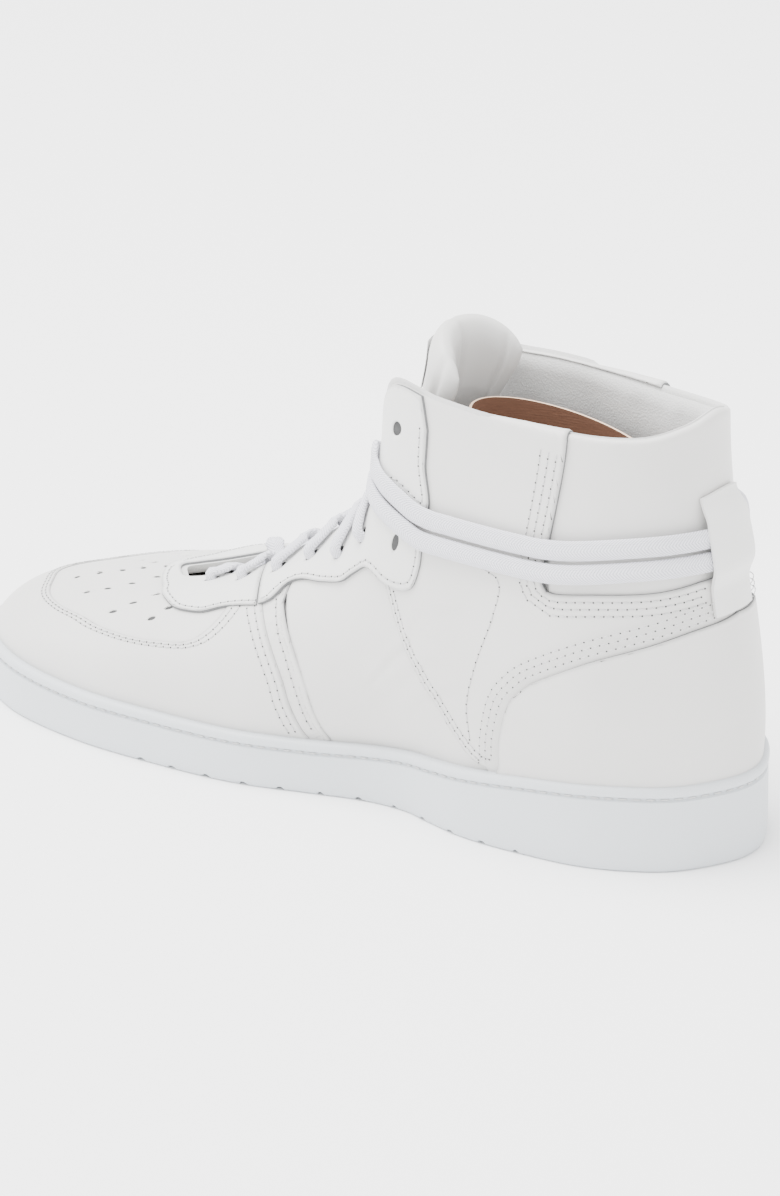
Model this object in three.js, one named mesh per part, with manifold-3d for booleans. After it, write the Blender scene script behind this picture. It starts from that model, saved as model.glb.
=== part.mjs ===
import * as THREE from 'three';
import Module from 'manifold-3d';

const wasm = await Module();
wasm.setup();

// A left basketball high top, in millimetres: toe towards -X, outer side towards -Y, sole on Z = 0.
// The shape is drawn once at the drawn sizes below and fitted to the sizes that are set here.

// ---- driving sizes ----
const LENGTH = 300;          // sole, heel to toe
const WIDTH = 101;           // sole, at the ball of the foot
const HEEL_TOP = 28.5;       // top of the sole at the heel
const FORE_TOP = 18;         // top of the sole at the ball
const COLLAR_TOP = 138;      // top line of the collar at the ankle
const RAND = 3;              // sole beyond the upper
const CUP_DEPTH = 6.5;       // how far the upper goes down inside the sole
const SOLE_FLOOR = 6;        // rubber under the foam
const LEATHER = 1;           // one layer of leather
const GAP = 0.3;             // running gap between touching pieces
const BOARD = 2;             // insole board
const FOOTBED = 4;           // sock liner over the board
const SHANK_WIDTH = 18;
const SHANK_THICK = 1.4;
const SHANK_LENGTH = 92;
const COLLAR_FOAM = 5.5;     // padding inside the top of the collar
const TONGUE_FOAM = 6;       // padding of the free top of the tongue
const TONGUE_HALF = 24;      // half width of the tongue at its top
const TONGUE_RISE = 20;      // tongue top above the collar
const TONGUE_FOLD = 5;       // degrees its free top comes forward under the laces
const LACE_WIDTH = 6.4;
const LACE_THICK = 1.5;
const EYELET = 4.4;          // punched lace hole
const PERFORATION = 2.2;     // vent hole in the toe panel
const LOOP_WIDTH = 18;       // strap at the heel that holds the laces
const LOOP_STANDOFF = 3.4;   // room for the laces behind it
const THREAD = 0.9;          // sole stitching
const TREAD_CUT = 1.6;       // depth of the tread grooves
const TREAD_PITCH = 13;
const CARD = 0.8;            // rolled card insert
const CARD_WIDTH = 38;
const CARD_LENGTH = 66;

const PITCH = LEATHER + GAP; // one layer to the next
const RINGS = 48;            // steps round a full shell
const ROWS = 10;             // steps up a full shell

// ---- the drawn shape ----
// Rows run from the toe along the outer side to the heel. Each holds four points of one rib:
// foot (where the upper meets the sole), low, high and top, as [from heel, across, height].
const DRAWN = { length: 300, width: 101, heelTop: 28.5, foreTop: 18, collarTop: 138 };
const RIBS = [
  [[296, 3, 20], [297, 3, 29.5], [266, 2, 42.5], [224, 0, 48]],
  [[288, -21, 19.5], [288.5, -22, 29.5], [258, -13, 43.5], [221, -5, 48]],
  [[265, -38, 19], [267, -42, 34], [238, -26, 45], [214, -10.5, 49]],
  [[232, -46.5, 18.5], [232, -51, 37], [215, -33, 49], [200, -13, 53.5]],
  [[200, -48, 18.5], [201, -54, 38], [190, -35, 55], [184, -14, 59.5]],
  [[170, -46.5, 18], [171, -52, 40], [165, -35, 64], [158.5, -12.5, 75.5]],
  [[145, -40, 18], [146, -47.5, 40], [146, -35, 74], [143.5, -15, 86]],
  [[126, -35, 19], [126, -45, 42], [130, -38, 82], [132, -19, 98]],
  [[110, -34.5, 20], [109, -45, 46], [118, -38, 94], [127, -21.5, 118]],
  [[97, -38, 22], [96, -47.5, 50], [107, -36, 103], [122, -24, 138]],
  [[82, -41.5, 24], [81, -49, 54], [90, -34, 101], [99, -32, 139]],
  [[62, -42, 26], [61, -49, 57], [64, -35, 101], [72, -35, 138]],
  [[38, -39.5, 27.5], [37, -46, 58], [42, -34, 101], [46, -34, 137]],
  [[17, -29.5, 28.5], [16, -34, 58], [24, -27, 101], [26, -28, 138]],
  [[6, -15, 28.5], [4.5, -18, 58], [15, -15, 101], [15.5, -17, 141]],
  [[2.5, -2.5, 28.5], [0.5, -3, 58], [13, -4, 101], [12, -4.5, 144]],
];
const INNER_LEAN = [5, 6, 8, 9]; // how much nearer the inner side lies, foot to top, towards the heel

const smooth = (from, to, value) => THREE.MathUtils.smoothstep(value, from, to);
const rise = (fromHeel, heel, fore) => heel + (fore - heel) * smooth(20, 150, fromHeel)
  + 2 * smooth(225, 300, fromHeel);
const soleTop = (fromHeel) => rise(fromHeel, HEEL_TOP, FORE_TOP);
const fromHeelOf = (point) => DRAWN.length * (0.5 - point.x / LENGTH);

// Fits a drawn point to the sizes that are set.
function place([fromHeel, across, height]) {
  const drawnSole = rise(fromHeel, DRAWN.heelTop, DRAWN.foreTop);
  const upperScale = (COLLAR_TOP - HEEL_TOP) / (DRAWN.collarTop - DRAWN.heelTop);
  return new THREE.Vector3(
    LENGTH * (0.5 - fromHeel / DRAWN.length),
    across * WIDTH / DRAWN.width,
    soleTop(fromHeel) + (height - drawnSole) * upperScale,
  );
}

function innerSide(rib) {
  return rib.map(([fromHeel, across, height], level) => {
    const lean = INNER_LEAN[level] * (1 - smooth(60, 200, fromHeel));
    return [fromHeel, -across - lean, height];
  });
}

const allRibs = [...RIBS, ...RIBS.slice(1, -1).reverse().map(innerSide)];
const loops = [0, 1, 2, 3].map((level) => {
  const points = allRibs.map((rib) => place(rib[level]));
  return new THREE.CatmullRomCurve3(points, true, 'catmullrom', 0.5);
});

// A point of the upper's surface: around 0 at the toe, 0.5 at the heel; up 0 at the sole, 1 at the top.
function surface(around, up) {
  const [foot, low, high, top] = loops.map((loop) => loop.getPoint(THREE.MathUtils.euclideanModulo(around,
    1)));
  return new THREE.CubicBezierCurve3(foot, low, high, top).getPoint(up);
}

function outward(around, up) {
  const step = 0.004;
  const along = surface(around + step, up).sub(surface(around - step, up));
  const high = Math.min(1, up + step);
  const low = Math.max(0, up - step);
  const rising = surface(around, high).sub(surface(around, low));
  return along.cross(rising).normalize();
}

// A point at a distance outside the surface. Below up = 0 it goes straight down into the sole.
function lifted(around, up, distance) {
  const normal = outward(around, Math.max(0, up));
  const point = surface(around, Math.max(0, up));
  if (up > 0) return point.addScaledVector(normal, distance);
  point.addScaledVector(normal.setZ(0).normalize(), distance);
  return point.setZ(soleTop(fromHeelOf(point)) + up);
}

// ---- solids ----
function solid(points, triangles) {
  const vertProperties = new Float32Array(points.flatMap((point) => [point.x, point.y, point.z]));
  const triVerts = new Uint32Array(triangles.flat());
  return new wasm.Manifold(new wasm.Mesh({ numProp: 3, vertProperties, triVerts }));
}

function fromGeometry(geometry) {
  const keys = new Map();
  const points = [];
  const position = geometry.getAttribute('position');
  const index = geometry.index ? [...geometry.index.array] : [...Array(position.count).keys()];
  const merged = index.map((vertex) => {
    const point = new THREE.Vector3().fromBufferAttribute(position, vertex);
    const key = point.toArray().map((value) => Math.round(value * 1e4)).join();
    if (!keys.has(key)) keys.set(key, points.push(point) - 1);
    return keys.get(key);
  });
  const triangles = [];
  for (let start = 0; start < merged.length; start += 3) {
    const [a, b, c] = merged.slice(start, start + 3);
    if (a !== b && b !== c && c !== a) triangles.push([a, b, c]);
  }
  return solid(points, triangles);
}

// Two grids of points, an outer and an inner one, joined along their edges into a closed solid.
function sandwich(outer, inner, closed) {
  const columns = outer.length;
  const rows = outer[0].length;
  const points = [...outer.flat(), ...inner.flat()];
  const at = (side, column, row) => side * columns * rows + (column % columns) * rows + row;
  const triangles = [];
  const quad = (a, b, c, d) => triangles.push([a, c, b], [a, d, c]);
  const lastColumn = closed ? columns : columns - 1;
  for (let column = 0; column < lastColumn; column += 1) {
    const next = column + 1;
    for (let row = 0; row < rows - 1; row += 1) {
      quad(at(0, column, row), at(0, column, row + 1), at(0, next, row + 1), at(0, next, row));
      quad(at(1, column, row), at(1, next, row), at(1, next, row + 1), at(1, column, row + 1));
    }
    quad(at(0, column, 0), at(0, next, 0), at(1, next, 0), at(1, column, 0));
    quad(at(0, column, rows - 1), at(1, column, rows - 1), at(1, next, rows - 1), at(0, next, rows - 1));
  }
  if (!closed) {
    for (let row = 0; row < rows - 1; row += 1) {
      const end = columns - 1;
      quad(at(0, 0, row), at(1, 0, row), at(1, 0, row + 1), at(0, 0, row + 1));
      quad(at(0, end, row), at(0, end, row + 1), at(1, end, row + 1), at(1, end, row));
    }
  }
  return solid(points, triangles);
}

const spread = (count, from, to) => Array.from({ length: count + 1 }, (_,
  step) => from + (to - from) * step / count);

// A shell of the upper between two distances from the surface.
function shell({ inner, outer, from = 0, to = 1, ups, steps = RINGS }) {
  const closed = to - from >= 1;
  const arounds = spread(steps, from, to).slice(0, closed ? steps : steps + 1);
  const distance = (value, around, up) => (typeof value === 'function' ? value(around, up) : value);
  const grid = (value) => arounds.map((around) => ups.map((up) => lifted(around, up, distance(value,
    around, up))));
  return sandwich(grid(outer), grid(inner), closed);
}

// Layers of the upper: 0 lining, 1 panels, 2 overlays, 3 eyestays and heel overlay.
const layerOuter = (number) => PITCH * (number - 2) - 0.1;
const upperUps = [-CUP_DEPTH, ...spread(ROWS, 0, 1)];
const aboveSole = [0.012, ...spread(ROWS, 0, 1).slice(1)];
const layer = (number, ups = upperUps) => {
  const outer = layerOuter(number);
  return shell({ inner: outer - LEATHER, outer, ups });
};

// A prism through the shoe from side to side, from an outline drawn in the side view.
function sidePrism(outline, from = -90, to = 90) {
  const points = outline.map(([fromHeel, height]) => place([fromHeel, 0, height]));
  const shape = new THREE.Shape(points.map((point) => new THREE.Vector2(point.x, point.z)));
  const geometry = new THREE.ExtrudeGeometry(shape, { depth: to - from, bevelEnabled: false });
  geometry.rotateX(Math.PI / 2).translate(0, to, 0);
  return fromGeometry(geometry);
}

// A prism from below to above, from an outline drawn in the view from above.
function topPrism(outline) {
  const points = outline.map(([fromHeel, across]) => place([fromHeel, across, 0]));
  const shape = new THREE.Shape(points.map((point) => new THREE.Vector2(point.x, point.y)));
  return fromGeometry(new THREE.ExtrudeGeometry(shape, { depth: 300, bevelEnabled: false }).translate(0,
    0, -50));
}

const OUTER_HALF = [-90, -1.5];
const INNER_HALF = [1.5, 90];
const both = (make) => [['outer', OUTER_HALF, 1], ['inner', INNER_HALF, -1]].forEach(make);

// A flat band swept along stations, each with its middle, the way its width lies, and its width.
function ribbon(stations, thick) {
  const sections = stations.map(({ point, wide, width }, step) => {
    const before = stations[Math.max(0, step - 1)].point;
    const after = stations[Math.min(stations.length - 1, step + 1)].point;
    const along = after.clone().sub(before).normalize();
    const face = wide.clone().cross(along).normalize();
    const side = along.clone().cross(face).normalize();
    return [[-1, -1], [1, -1], [1, 1], [-1, 1]].map(([across, through]) => point.clone()
      .addScaledVector(side, across * width / 2)
      .addScaledVector(face, through * thick / 2));
  });
  const corner = (step, turn) => step * 4 + (turn % 4);
  const triangles = [[0, 1, 2], [0, 2, 3]];
  for (let step = 0; step < sections.length - 1; step += 1) {
    for (let turn = 0; turn < 4; turn += 1) {
      const [a, b] = [corner(step, turn), corner(step, turn + 1)];
      triangles.push([a, corner(step + 1, turn + 1), b], [a, corner(step + 1, turn), corner(step + 1,
        turn + 1)]);
    }
  }
  const end = corner(sections.length - 1, 0);
  triangles.push([end, end + 2, end + 1], [end, end + 3, end + 2]);
  return solid(sections.flat(), triangles);
}

function peg(centre, direction, diameter, length, sides = 8) {
  const geometry = new THREE.CylinderGeometry(diameter / 2, diameter / 2, length, sides);
  const turn = new THREE.Quaternion().setFromUnitVectors(new THREE.Vector3(0, 1, 0), direction);
  geometry.applyQuaternion(turn).translate(centre.x, centre.y, centre.z);
  return fromGeometry(geometry);
}

const cutAll = (body, cutters) => cutters.reduce((left, cutter) => left.subtract(cutter), body);

// ---- materials ----
const finish = (color, roughness, metalness = 0) => ({ color, roughness, metalness });
const LEATHER_WHITE = finish(0xe8e7e4, 0.42);
const LEATHER_EDGE = finish(0xeeeeea, 0.4);
const RUBBER_WHITE = finish(0xe2e5e8, 0.5);
const LACE_WHITE = finish(0xe4e6ee, 0.8);
const LINING_WHITE = finish(0xdcdcd8, 0.55);
const TEXTILE_WHITE = finish(0xdededa, 0.9);
const FOAM_GREY = finish(0xcfcfca, 0.95);
const BOARD_TAN = finish(0xb49a74, 0.85);
const CARD_TAN = finish(0x6b4430, 0.7);
const STEEL = finish(0x8a8d92, 0.35, 1);
const STIFFENER = finish(0xbdb7a8, 0.8);

const group = new THREE.Group();

function add(name, body, { color, roughness, metalness }) {
  const mesh = body.getMesh();
  const geometry = new THREE.BufferGeometry();
  geometry.setAttribute('position', new THREE.BufferAttribute(new Float32Array(mesh.vertProperties), 3));
  geometry.setIndex([...mesh.triVerts]);
  geometry.computeVertexNormals();
  const material = new THREE.MeshStandardMaterial({ color, roughness, metalness });
  const node = new THREE.Mesh(geometry, material);
  node.name = name;
  group.add(node);
}

// ---- the sole ----
const footRing = (distance, height) => spread(RINGS, 0, 1).slice(0, RINGS).map((around) => {
  const point = lifted(around, 0, distance);
  return point.setZ(height(fromHeelOf(point)));
});

// A solid from rings of points, closed below and above by a ladder from side to side.
function stacked(rings) {
  const points = rings.flat();
  const at = (ring, step) => ring * RINGS + THREE.MathUtils.euclideanModulo(step, RINGS);
  const triangles = [];
  for (let ring = 0; ring < rings.length - 1; ring += 1) {
    for (let step = 0; step < RINGS; step += 1) {
      triangles.push([at(ring, step), at(ring, step + 1), at(ring + 1, step + 1)]);
      triangles.push([at(ring, step), at(ring + 1, step + 1), at(ring + 1, step)]);
    }
  }
  const last = rings.length - 1;
  for (let step = 0; step < RINGS / 2; step += 1) {
    const rung = [step, step + 1, -step - 1, -step];
    [[0, [...rung].reverse()], [last, rung]].forEach(([ring, steps]) => {
      const [a, b, c, d] = steps.map((value) => at(ring, value));
      if (a !== b && b !== c && a !== c) triangles.push([a, b, c]);
      if (a !== c && c !== d && a !== d) triangles.push([a, c, d]);
    });
  }
  return solid(points, triangles);
}

const level = (drop) => (fromHeel) => soleTop(fromHeel) - drop;
const flat = (height) => () => height;
const GROOVE_DROP = 4.4;

function cupsole() {
  const wall = [
    footRing(RAND - 1.6, flat(0)),
    footRing(RAND - 0.4, flat(1.4)),
    footRing(RAND - 0.2, level(GROOVE_DROP + THREAD)),
    footRing(RAND - 0.9, level(GROOVE_DROP)),
    footRing(RAND - 0.1, level(GROOVE_DROP - THREAD)),
    footRing(RAND, level(1.4)),
    footRing(RAND - 0.7, level(0.2)),
    footRing(layerOuter(2) + GAP, level(0)),
    footRing(layerOuter(2) + GAP, level(CUP_DEPTH + GAP)),
    footRing(layerOuter(2) + GAP, flat(SOLE_FLOOR)),
  ];
  const grooves = spread(9, 88, 88 + 9 * TREAD_PITCH).map((fromHeel) => {
    const box = new THREE.BoxGeometry(2.4, WIDTH * 2, TREAD_CUT * 2);
    return fromGeometry(box.translate(LENGTH * (0.5 - fromHeel / DRAWN.length), 0, 0));
  });
  add('cupsole', cutAll(stacked(wall), grooves), RUBBER_WHITE);
}

function soleStitching() {
  const turn = [[0, 1], [1, 0], [0, -1], [-1, 0]];
  const steps = RINGS;
  const ring = (side, drop) => spread(steps, 0, 1).slice(0, steps).map((around) => {
    const point = lifted(around, 0, RAND - 0.15 + side * THREAD * 0.35);
    return point.setZ(soleTop(fromHeelOf(point)) - GROOVE_DROP + drop * THREAD * 0.35);
  });
  const rings = turn.map(([side, drop]) => ring(side, drop));
  const triangles = [];
  for (let step = 0; step < steps; step += 1) {
    for (let edge = 0; edge < 4; edge += 1) {
      const [a, b] = [edge * steps, ((edge + 1) % 4) * steps];
      const next = (step + 1) % steps;
      triangles.push([a + step, b + step, b + next], [a + step, b + next, a + next]);
    }
  }
  add('sole_stitching', solid(rings.flat(), triangles), LACE_WHITE);
}

// A plate that follows the slope of the foam under the arch.
function shankPlate(grow) {
  const half = SHANK_WIDTH / 2 + grow;
  const ends = [62 - grow, 62 + SHANK_LENGTH + grow];
  const grid = (drop) => spread(8, ends[1], ends[0]).map((fromHeel) => [-half, half].map((across) => {
    const x = LENGTH * (0.5 - fromHeel / DRAWN.length);
    return new THREE.Vector3(x, across - 2, soleTop(fromHeel) - drop);
  }));
  const top = CUP_DEPTH + GAP;
  return sandwich(grid(top + GAP - grow * 1.5), grid(top + GAP + SHANK_THICK + grow), false);
}

function insideSole() {
  const seat = CUP_DEPTH + GAP;
  const foamSide = layerOuter(2);
  const foam = stacked([footRing(foamSide, flat(SOLE_FLOOR + GAP)), footRing(foamSide, level(seat))]);
  add('foam_midsole', foam.subtract(shankPlate(GAP)), FOAM_GREY);
  add('shank', shankPlate(0), STEEL);
  const board = -4 * PITCH;
  const boardTop = seat - GAP - BOARD;
  add('insole_board', stacked([footRing(board, level(seat - GAP)), footRing(board, level(boardTop))]),
    BOARD_TAN);
  const bed = [footRing(board, level(boardTop - GAP)), footRing(board, level(boardTop - GAP - FOOTBED))];
  add('footbed', stacked(bed), LINING_WHITE);
}

// ---- the upper ----
// Straight ramps between listed values, so that every shell on the same steps bulges alike.
const ramp = (value, stops) => {
  const next = stops.findIndex(([at]) => at >= value);
  if (next <= 0) return next === 0 ? stops[0][1] : stops.at(-1)[1];
  const [[from, low], [to, high]] = [stops[next - 1], stops[next]];
  return low + (high - low) * (value - from) / (to - from);
};
const COLLAR_STEPS = 6;
const collarBulge = (around, up) => COLLAR_FOAM
  * ramp(Math.abs(around - 0.5) * RINGS, [[COLLAR_STEPS - 1, 1], [COLLAR_STEPS, 0.6], [COLLAR_STEPS + 1, 0]])
  * ramp(up, [[0.6, 0], [0.7, 0.5], [0.8, 1], [0.9, 1], [1, 0.6]]);

const SEAM_QUARTER = [[119, 84], [117, 77], [109, 60], [101, 49], [92, 40], [80, 27], [70, 5]];
const EDGE_MUDGUARD = [[170, 75], [167, 58], [158, 47], [153, 38], [150, 30], [146, 20], [144, 5]];
const EDGE_STRIP = [[162, 75], [160, 62], [155, 53], [150, 45], [146, 35], [142, 24], [138, 5]];
const EDGE_COUNTER = [[69, 5], [69, 27], [68, 37], [65, 49], [61, 55], [54, 60], [34, 70], [14, 78], [-20,
  88]];
const WINDOW_COLLAR = [[49, 170], [51, 128], [54, 108], [56, 94], [55, 89.5], [51, 88], [36, 90], [15, 92.5],
  [-20, 96], [-20, 170]];
const WINDOW_TOE = [[277, 0], [272, -9], [264, -21], [252, -30], [239, -36], [228, -40], [214, -43], [201,
  -43.5],
  [190, -43], [183, -38], [180, -28]];

const shifted = (outline, by) => outline.map(([fromHeel, height]) => [fromHeel + by, height]);
const wholeWindow = (outline) => [...outline, ...outline.slice(1).reverse().map(([fromHeel,
  y]) => [fromHeel, -y])];
const grown = (outline, by) => {
  const middle = [(outline[0][0] + outline.at(-1)[0]) / 2, 0];
  return outline.map(([fromHeel, across]) => {
    const away = new THREE.Vector2(fromHeel - middle[0], across - middle[1]);
    return away.setLength(away.length() + by).toArray().map((value, axis) => value + middle[axis]);
  });
};
const FRONT_END = [[330, 5], [330, 90]];
const frontOf = (edge) => sidePrism([...edge, FRONT_END[0], FRONT_END[1]]);
const behind = (edge) => sidePrism([...edge, [-40, 5], [-40, 190], [140, 190]]);

const EYELETS = [[199, -17.5, 54], [184, -20.5, 59], [168, -22, 65.5], [155, -22, 73], [141, -26.5, 78.5],
  [130, -28.5, 87.5],
  [113, -35, 91], [117, -28, 126]];

// The nearest place on the surface to a drawn point.
function nearest(drawn) {
  const goal = place(drawn);
  let best = { gap: Infinity };
  let spanAround = 0.25;
  let spanUp = 0.5;
  let centre = [0.25, 0.5];
  for (let round = 0; round < 5; round += 1) {
    for (const around of spread(16, centre[0] - spanAround, centre[0] + spanAround)) {
      for (const up of spread(16, Math.max(0, centre[1] - spanUp), Math.min(1, centre[1] + spanUp))) {
        const gap = surface(around, up).distanceTo(goal);
        if (gap < best.gap) best = { gap, around, up };
      }
    }
    centre = [best.around, best.up];
    spanAround /= 5;
    spanUp /= 5;
  }
  return best;
}

const eyeletPlaces = EYELETS.map(nearest);
const mirrorPlace = ({ around, up }) => ({ around: 1 - around, up });
const holeAt = ({ around, up }, diameter) => peg(surface(around, up), outward(around, up), diameter, 16,
  diameter < 3 ? 6 : 8);
const eyeletHoles = (indices) => indices.flatMap((index) => [eyeletPlaces[index],
  mirrorPlace(eyeletPlaces[index])])
  .map((placeOnUpper) => holeAt(placeOnUpper, EYELET));

function linings() {
  const stiff = (around) => {
    const toe = Math.min(around, 1 - around);
    const heel = Math.abs(around - 0.5);
    return Math.max(1 - smooth(0.1, 0.14, toe), 1 - smooth(0.12, 0.16, heel));
  };
  const low = (up) => 1 - smooth(0.5, 0.62, up);
  const depth = (around, up) => layerOuter(0) - PITCH * stiff(around) * low(up) - collarBulge(around, up) * 1;
  const lining = shell({ inner: (around, up) => depth(around, up) - LEATHER, outer: depth, ups: upperUps });
  const holes = eyeletHoles([0, 1, 2, 3, 4, 5, 6, 7]);
  const split = [[152, 190], [152, 5]];
  const front = sidePrism([[152 + GAP, 190], [152 + GAP, 5], [330, 5], [330, 190]]);
  const rear = sidePrism([...split, [-40, 5], [-40, 190]]);
  add('vamp_lining', cutAll(lining.intersect(front), holes), TEXTILE_WHITE);
  add('quarter_lining', cutAll(lining.intersect(rear), holes), LINING_WHITE);
}

function stiffeners() {
  const outer = layerOuter(0);
  const insert = (middle, reach, count) => shell({
    inner: outer - LEATHER,
    outer,
    from: middle - reach / RINGS,
    to: middle + reach / RINGS,
    ups: aboveSole.slice(0, count),
    steps: 2 * reach,
  });
  add('toe_puff', insert(0, 4, 5), STIFFENER);
  add('heel_counter', insert(0.5, 5, 6), STIFFENER);
}

function collarPadding() {
  const ups = [0.7, 0.8, 0.9, 0.97];
  const outer = layerOuter(0);
  const inner = (around, up) => outer - collarBulge(around, up) + GAP;
  const reach = COLLAR_STEPS / RINGS;
  const steps = 2 * COLLAR_STEPS;
  add('collar_padding', shell({ inner, outer, from: 0.5 - reach, to: 0.5 + reach, ups, steps }), FOAM_GREY);
}

function toe() {
  const base = layer(1);
  const window = topPrism(grown(wholeWindow(WINDOW_TOE), 6));
  const top = sidePrism([[178, 32], [320, 32], [320, 90], [178, 90]]);
  const spots = [[262, -9], [254, -7], [246, -5], [239, -2.5], [231, 0], [248, -22], [241, -19.5], [234,
    -15.5], [228, -9],
    [228, -34], [223, -29.5], [217, -24.5], [210, -37], [206, -32.5]];
  const holes = spots.flatMap(([fromHeel, across]) => (across > -1 ? [across] : [across,
    -across]).map((side) => {
    const found = nearest([fromHeel, -Math.abs(side), 44]);
    return holeAt(side > 0 ? mirrorPlace(found) : found, PERFORATION);
  }));
  const throat = eyeletHoles([0, 1]);
  add('vamp_panel', cutAll(base.intersect(window).intersect(top), [...holes, ...throat]), LEATHER_WHITE);
  const guard = layer(2).intersect(frontOf(EDGE_MUDGUARD));
  add('toe_mudguard', cutAll(guard, [topPrism(wholeWindow(WINDOW_TOE)), ...eyeletHoles([0, 1, 2])]),
    LEATHER_WHITE);
}

function sides() {
  const base = layer(1);
  const holes = eyeletHoles([1, 2, 3, 4, 5, 6]);
  both(([side, [from, to]]) => {
    const strip = sidePrism([...shifted(EDGE_MUDGUARD, 6), ...[...EDGE_STRIP].reverse()], from, to);
    add(`side_strip_${side}`, cutAll(base.intersect(strip), holes), LEATHER_WHITE);
    const panel = sidePrism([...shifted(EDGE_STRIP, -GAP - 0.1), ...shifted(SEAM_QUARTER, -8).reverse(),
      [131, 100]], from, to);
    add(`side_panel_${side}`, cutAll(base.intersect(panel), holes), LEATHER_WHITE);
  });
  const quarter = layer(2).intersect(behind(SEAM_QUARTER)).subtract(sidePrism(WINDOW_COLLAR));
  const halves = eyeletHoles([5, 6, 7]);
  both(([side, [from, to]]) => {
    const middle = -3 * WIDTH / DRAWN.width;
    const half = side === 'outer' ? [from, middle - GAP / 2] : [middle + GAP / 2, to];
    const box = sidePrism([[-40, 0], [340, 0], [340, 200], [-40, 200]], ...half);
    add(`quarter_${side}`, cutAll(quarter.intersect(box), halves), LEATHER_WHITE);
  });
  const rear = sidePrism([[58, 170], [62, 84], [-20, 88], [-20, 170]]);
  add('rear_collar_panel', base.intersect(rear), LEATHER_WHITE);
  add('heel_overlay', layer(3, aboveSole).intersect(sidePrism([...EDGE_COUNTER, [-20, 5]])), LEATHER_WHITE);
}

const EYESTAY_TIP = [[229, 0], [227.5, -6], [223, -13], [218, -19.5], [214, -25], [209, -29.5], [203,
  -33], [197, -34.5],
  [190, -35], [182, -34], [168.6, -34.5]];
const EYESTAY_REAR = [[168, 57.5], [164, 60], [160, 65], [155, 67.5], [146, 69], [137, 71.5], [132, 75.5],
  [127, 79], [123, 79],
  [117, 77], [110, 76], [105, 78.5], [102.5, 84], [102, 90], [103, 96], [112, 98], [124, 99.5], [138,
    103], [178, 72]];
const FACING = [[103, 104], [103.5, 129], [103, 150], [140, 150], [140, 106]];

function eyestays() {
  const top = layer(3, aboveSole);
  const holes = eyeletHoles([0, 1, 2, 3, 4, 5, 6, 7]);
  const front = topPrism(wholeWindow([...EYESTAY_TIP, [176, -18], [178, -4]]));
  add('eyestay_front', cutAll(top.intersect(front), holes), LEATHER_EDGE);
  both(([side, [from, to]]) => {
    const rear = sidePrism(EYESTAY_REAR, from, to);
    add(`eyestay_rear_${side}`, cutAll(top.intersect(rear).subtract(front), holes), LEATHER_EDGE);
    add(`ankle_facing_${side}`, cutAll(top.intersect(sidePrism(FACING, from, to)), holes), LEATHER_EDGE);
  });
}

function heelLoop() {
  const around = 0.497;
  const half = LOOP_WIDTH / 2 / surface(around - 0.01, 0.7).distanceTo(surface(around + 0.01, 0.7)) * 0.02;
  const ups = [0.505, 0.55, 0.59, 0.62, 0.66, 0.71, 0.775, 0.795, 0.82];
  const seat = (up) => ramp(up, [[0.62, layerOuter(2)], [0.74, layerOuter(1)]]) + GAP;
  const stand = (up) => LOOP_STANDOFF * ramp(up, [[0.59, 0], [0.62, 0.8], [0.66, 1], [0.71, 1], [0.775,
    0.9], [0.795, 0]]);
  const inner = (_, up) => seat(up) + stand(up);
  const outer = (_, up) => inner(around, up) + 1.6;
  add('heel_loop', shell({ inner, outer, from: around - half, to: around + half, ups, steps: 4 }),
    LEATHER_WHITE);
}

// ---- the tongue ----
// Its front face at the middle, from under the toe panel to its top, as [from heel, height, half width,
// side drop].
const TONGUE = [[232, 41, 17, 5], [216, 45, 16, 8], [200, 50, 16, 14], [184, 56.5, 16, 15], [162, 69, 16, 15],
  [147, 80, 16.5, 15], [134, 93, 17, 15], [126, 110, 18.5, 15], [122, 128, 20.5, 15],
  [118.5, COLLAR_TOP + 6, TONGUE_HALF - 2, 20], [117, COLLAR_TOP + TONGUE_RISE - 1, TONGUE_HALF - 2, 20]];
const TONGUE_HINGE = 0.7;
const tongueLine = new THREE.CatmullRomCurve3(TONGUE.map(([fromHeel, height]) => place([fromHeel, 0,
  height])));
const tongueSize = (along, column) => {
  const place01 = along * (TONGUE.length - 1);
  const step = Math.min(TONGUE.length - 2, Math.floor(place01));
  return THREE.MathUtils.lerp(TONGUE[step][column], TONGUE[step + 1][column], place01 - step);
};

// A point of the tongue: across -1 to 1 from outer to inner side, along 0 to 1 upwards, depth behind its
// face.
function tonguePoint(across, along, depth) {
  const middle = tongueLine.getPoint(along);
  const tangent = tongueLine.getTangent(along);
  const front = new THREE.Vector3(-tangent.z, 0, tangent.x).normalize();
  const angle = across * Math.PI * 0.48;
  const back = tongueSize(along, 3) * (1 - Math.cos(angle)) + depth * Math.cos(angle);
  const side = (tongueSize(along, 2) - depth) * Math.sin(angle);
  const lean = -INNER_LEAN[3] / 2 * (1 - smooth(60, 200, fromHeelOf(middle)));
  return middle.addScaledVector(front, -back).add(new THREE.Vector3(0, side + lean, 0));
}

function tongueSheet(alongs, near, far, columns = 10) {
  const arch = (across, along) => along - 0.085 * Math.abs(across) ** 2.4 * smooth(TONGUE_HINGE, 1, along);
  const grid = (depth) => spread(columns, 1, -1).map((across) => alongs
    .map((along) => tonguePoint(across, arch(across, along), depth)));
  return sandwich(grid(near), grid(far), false);
}

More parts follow.
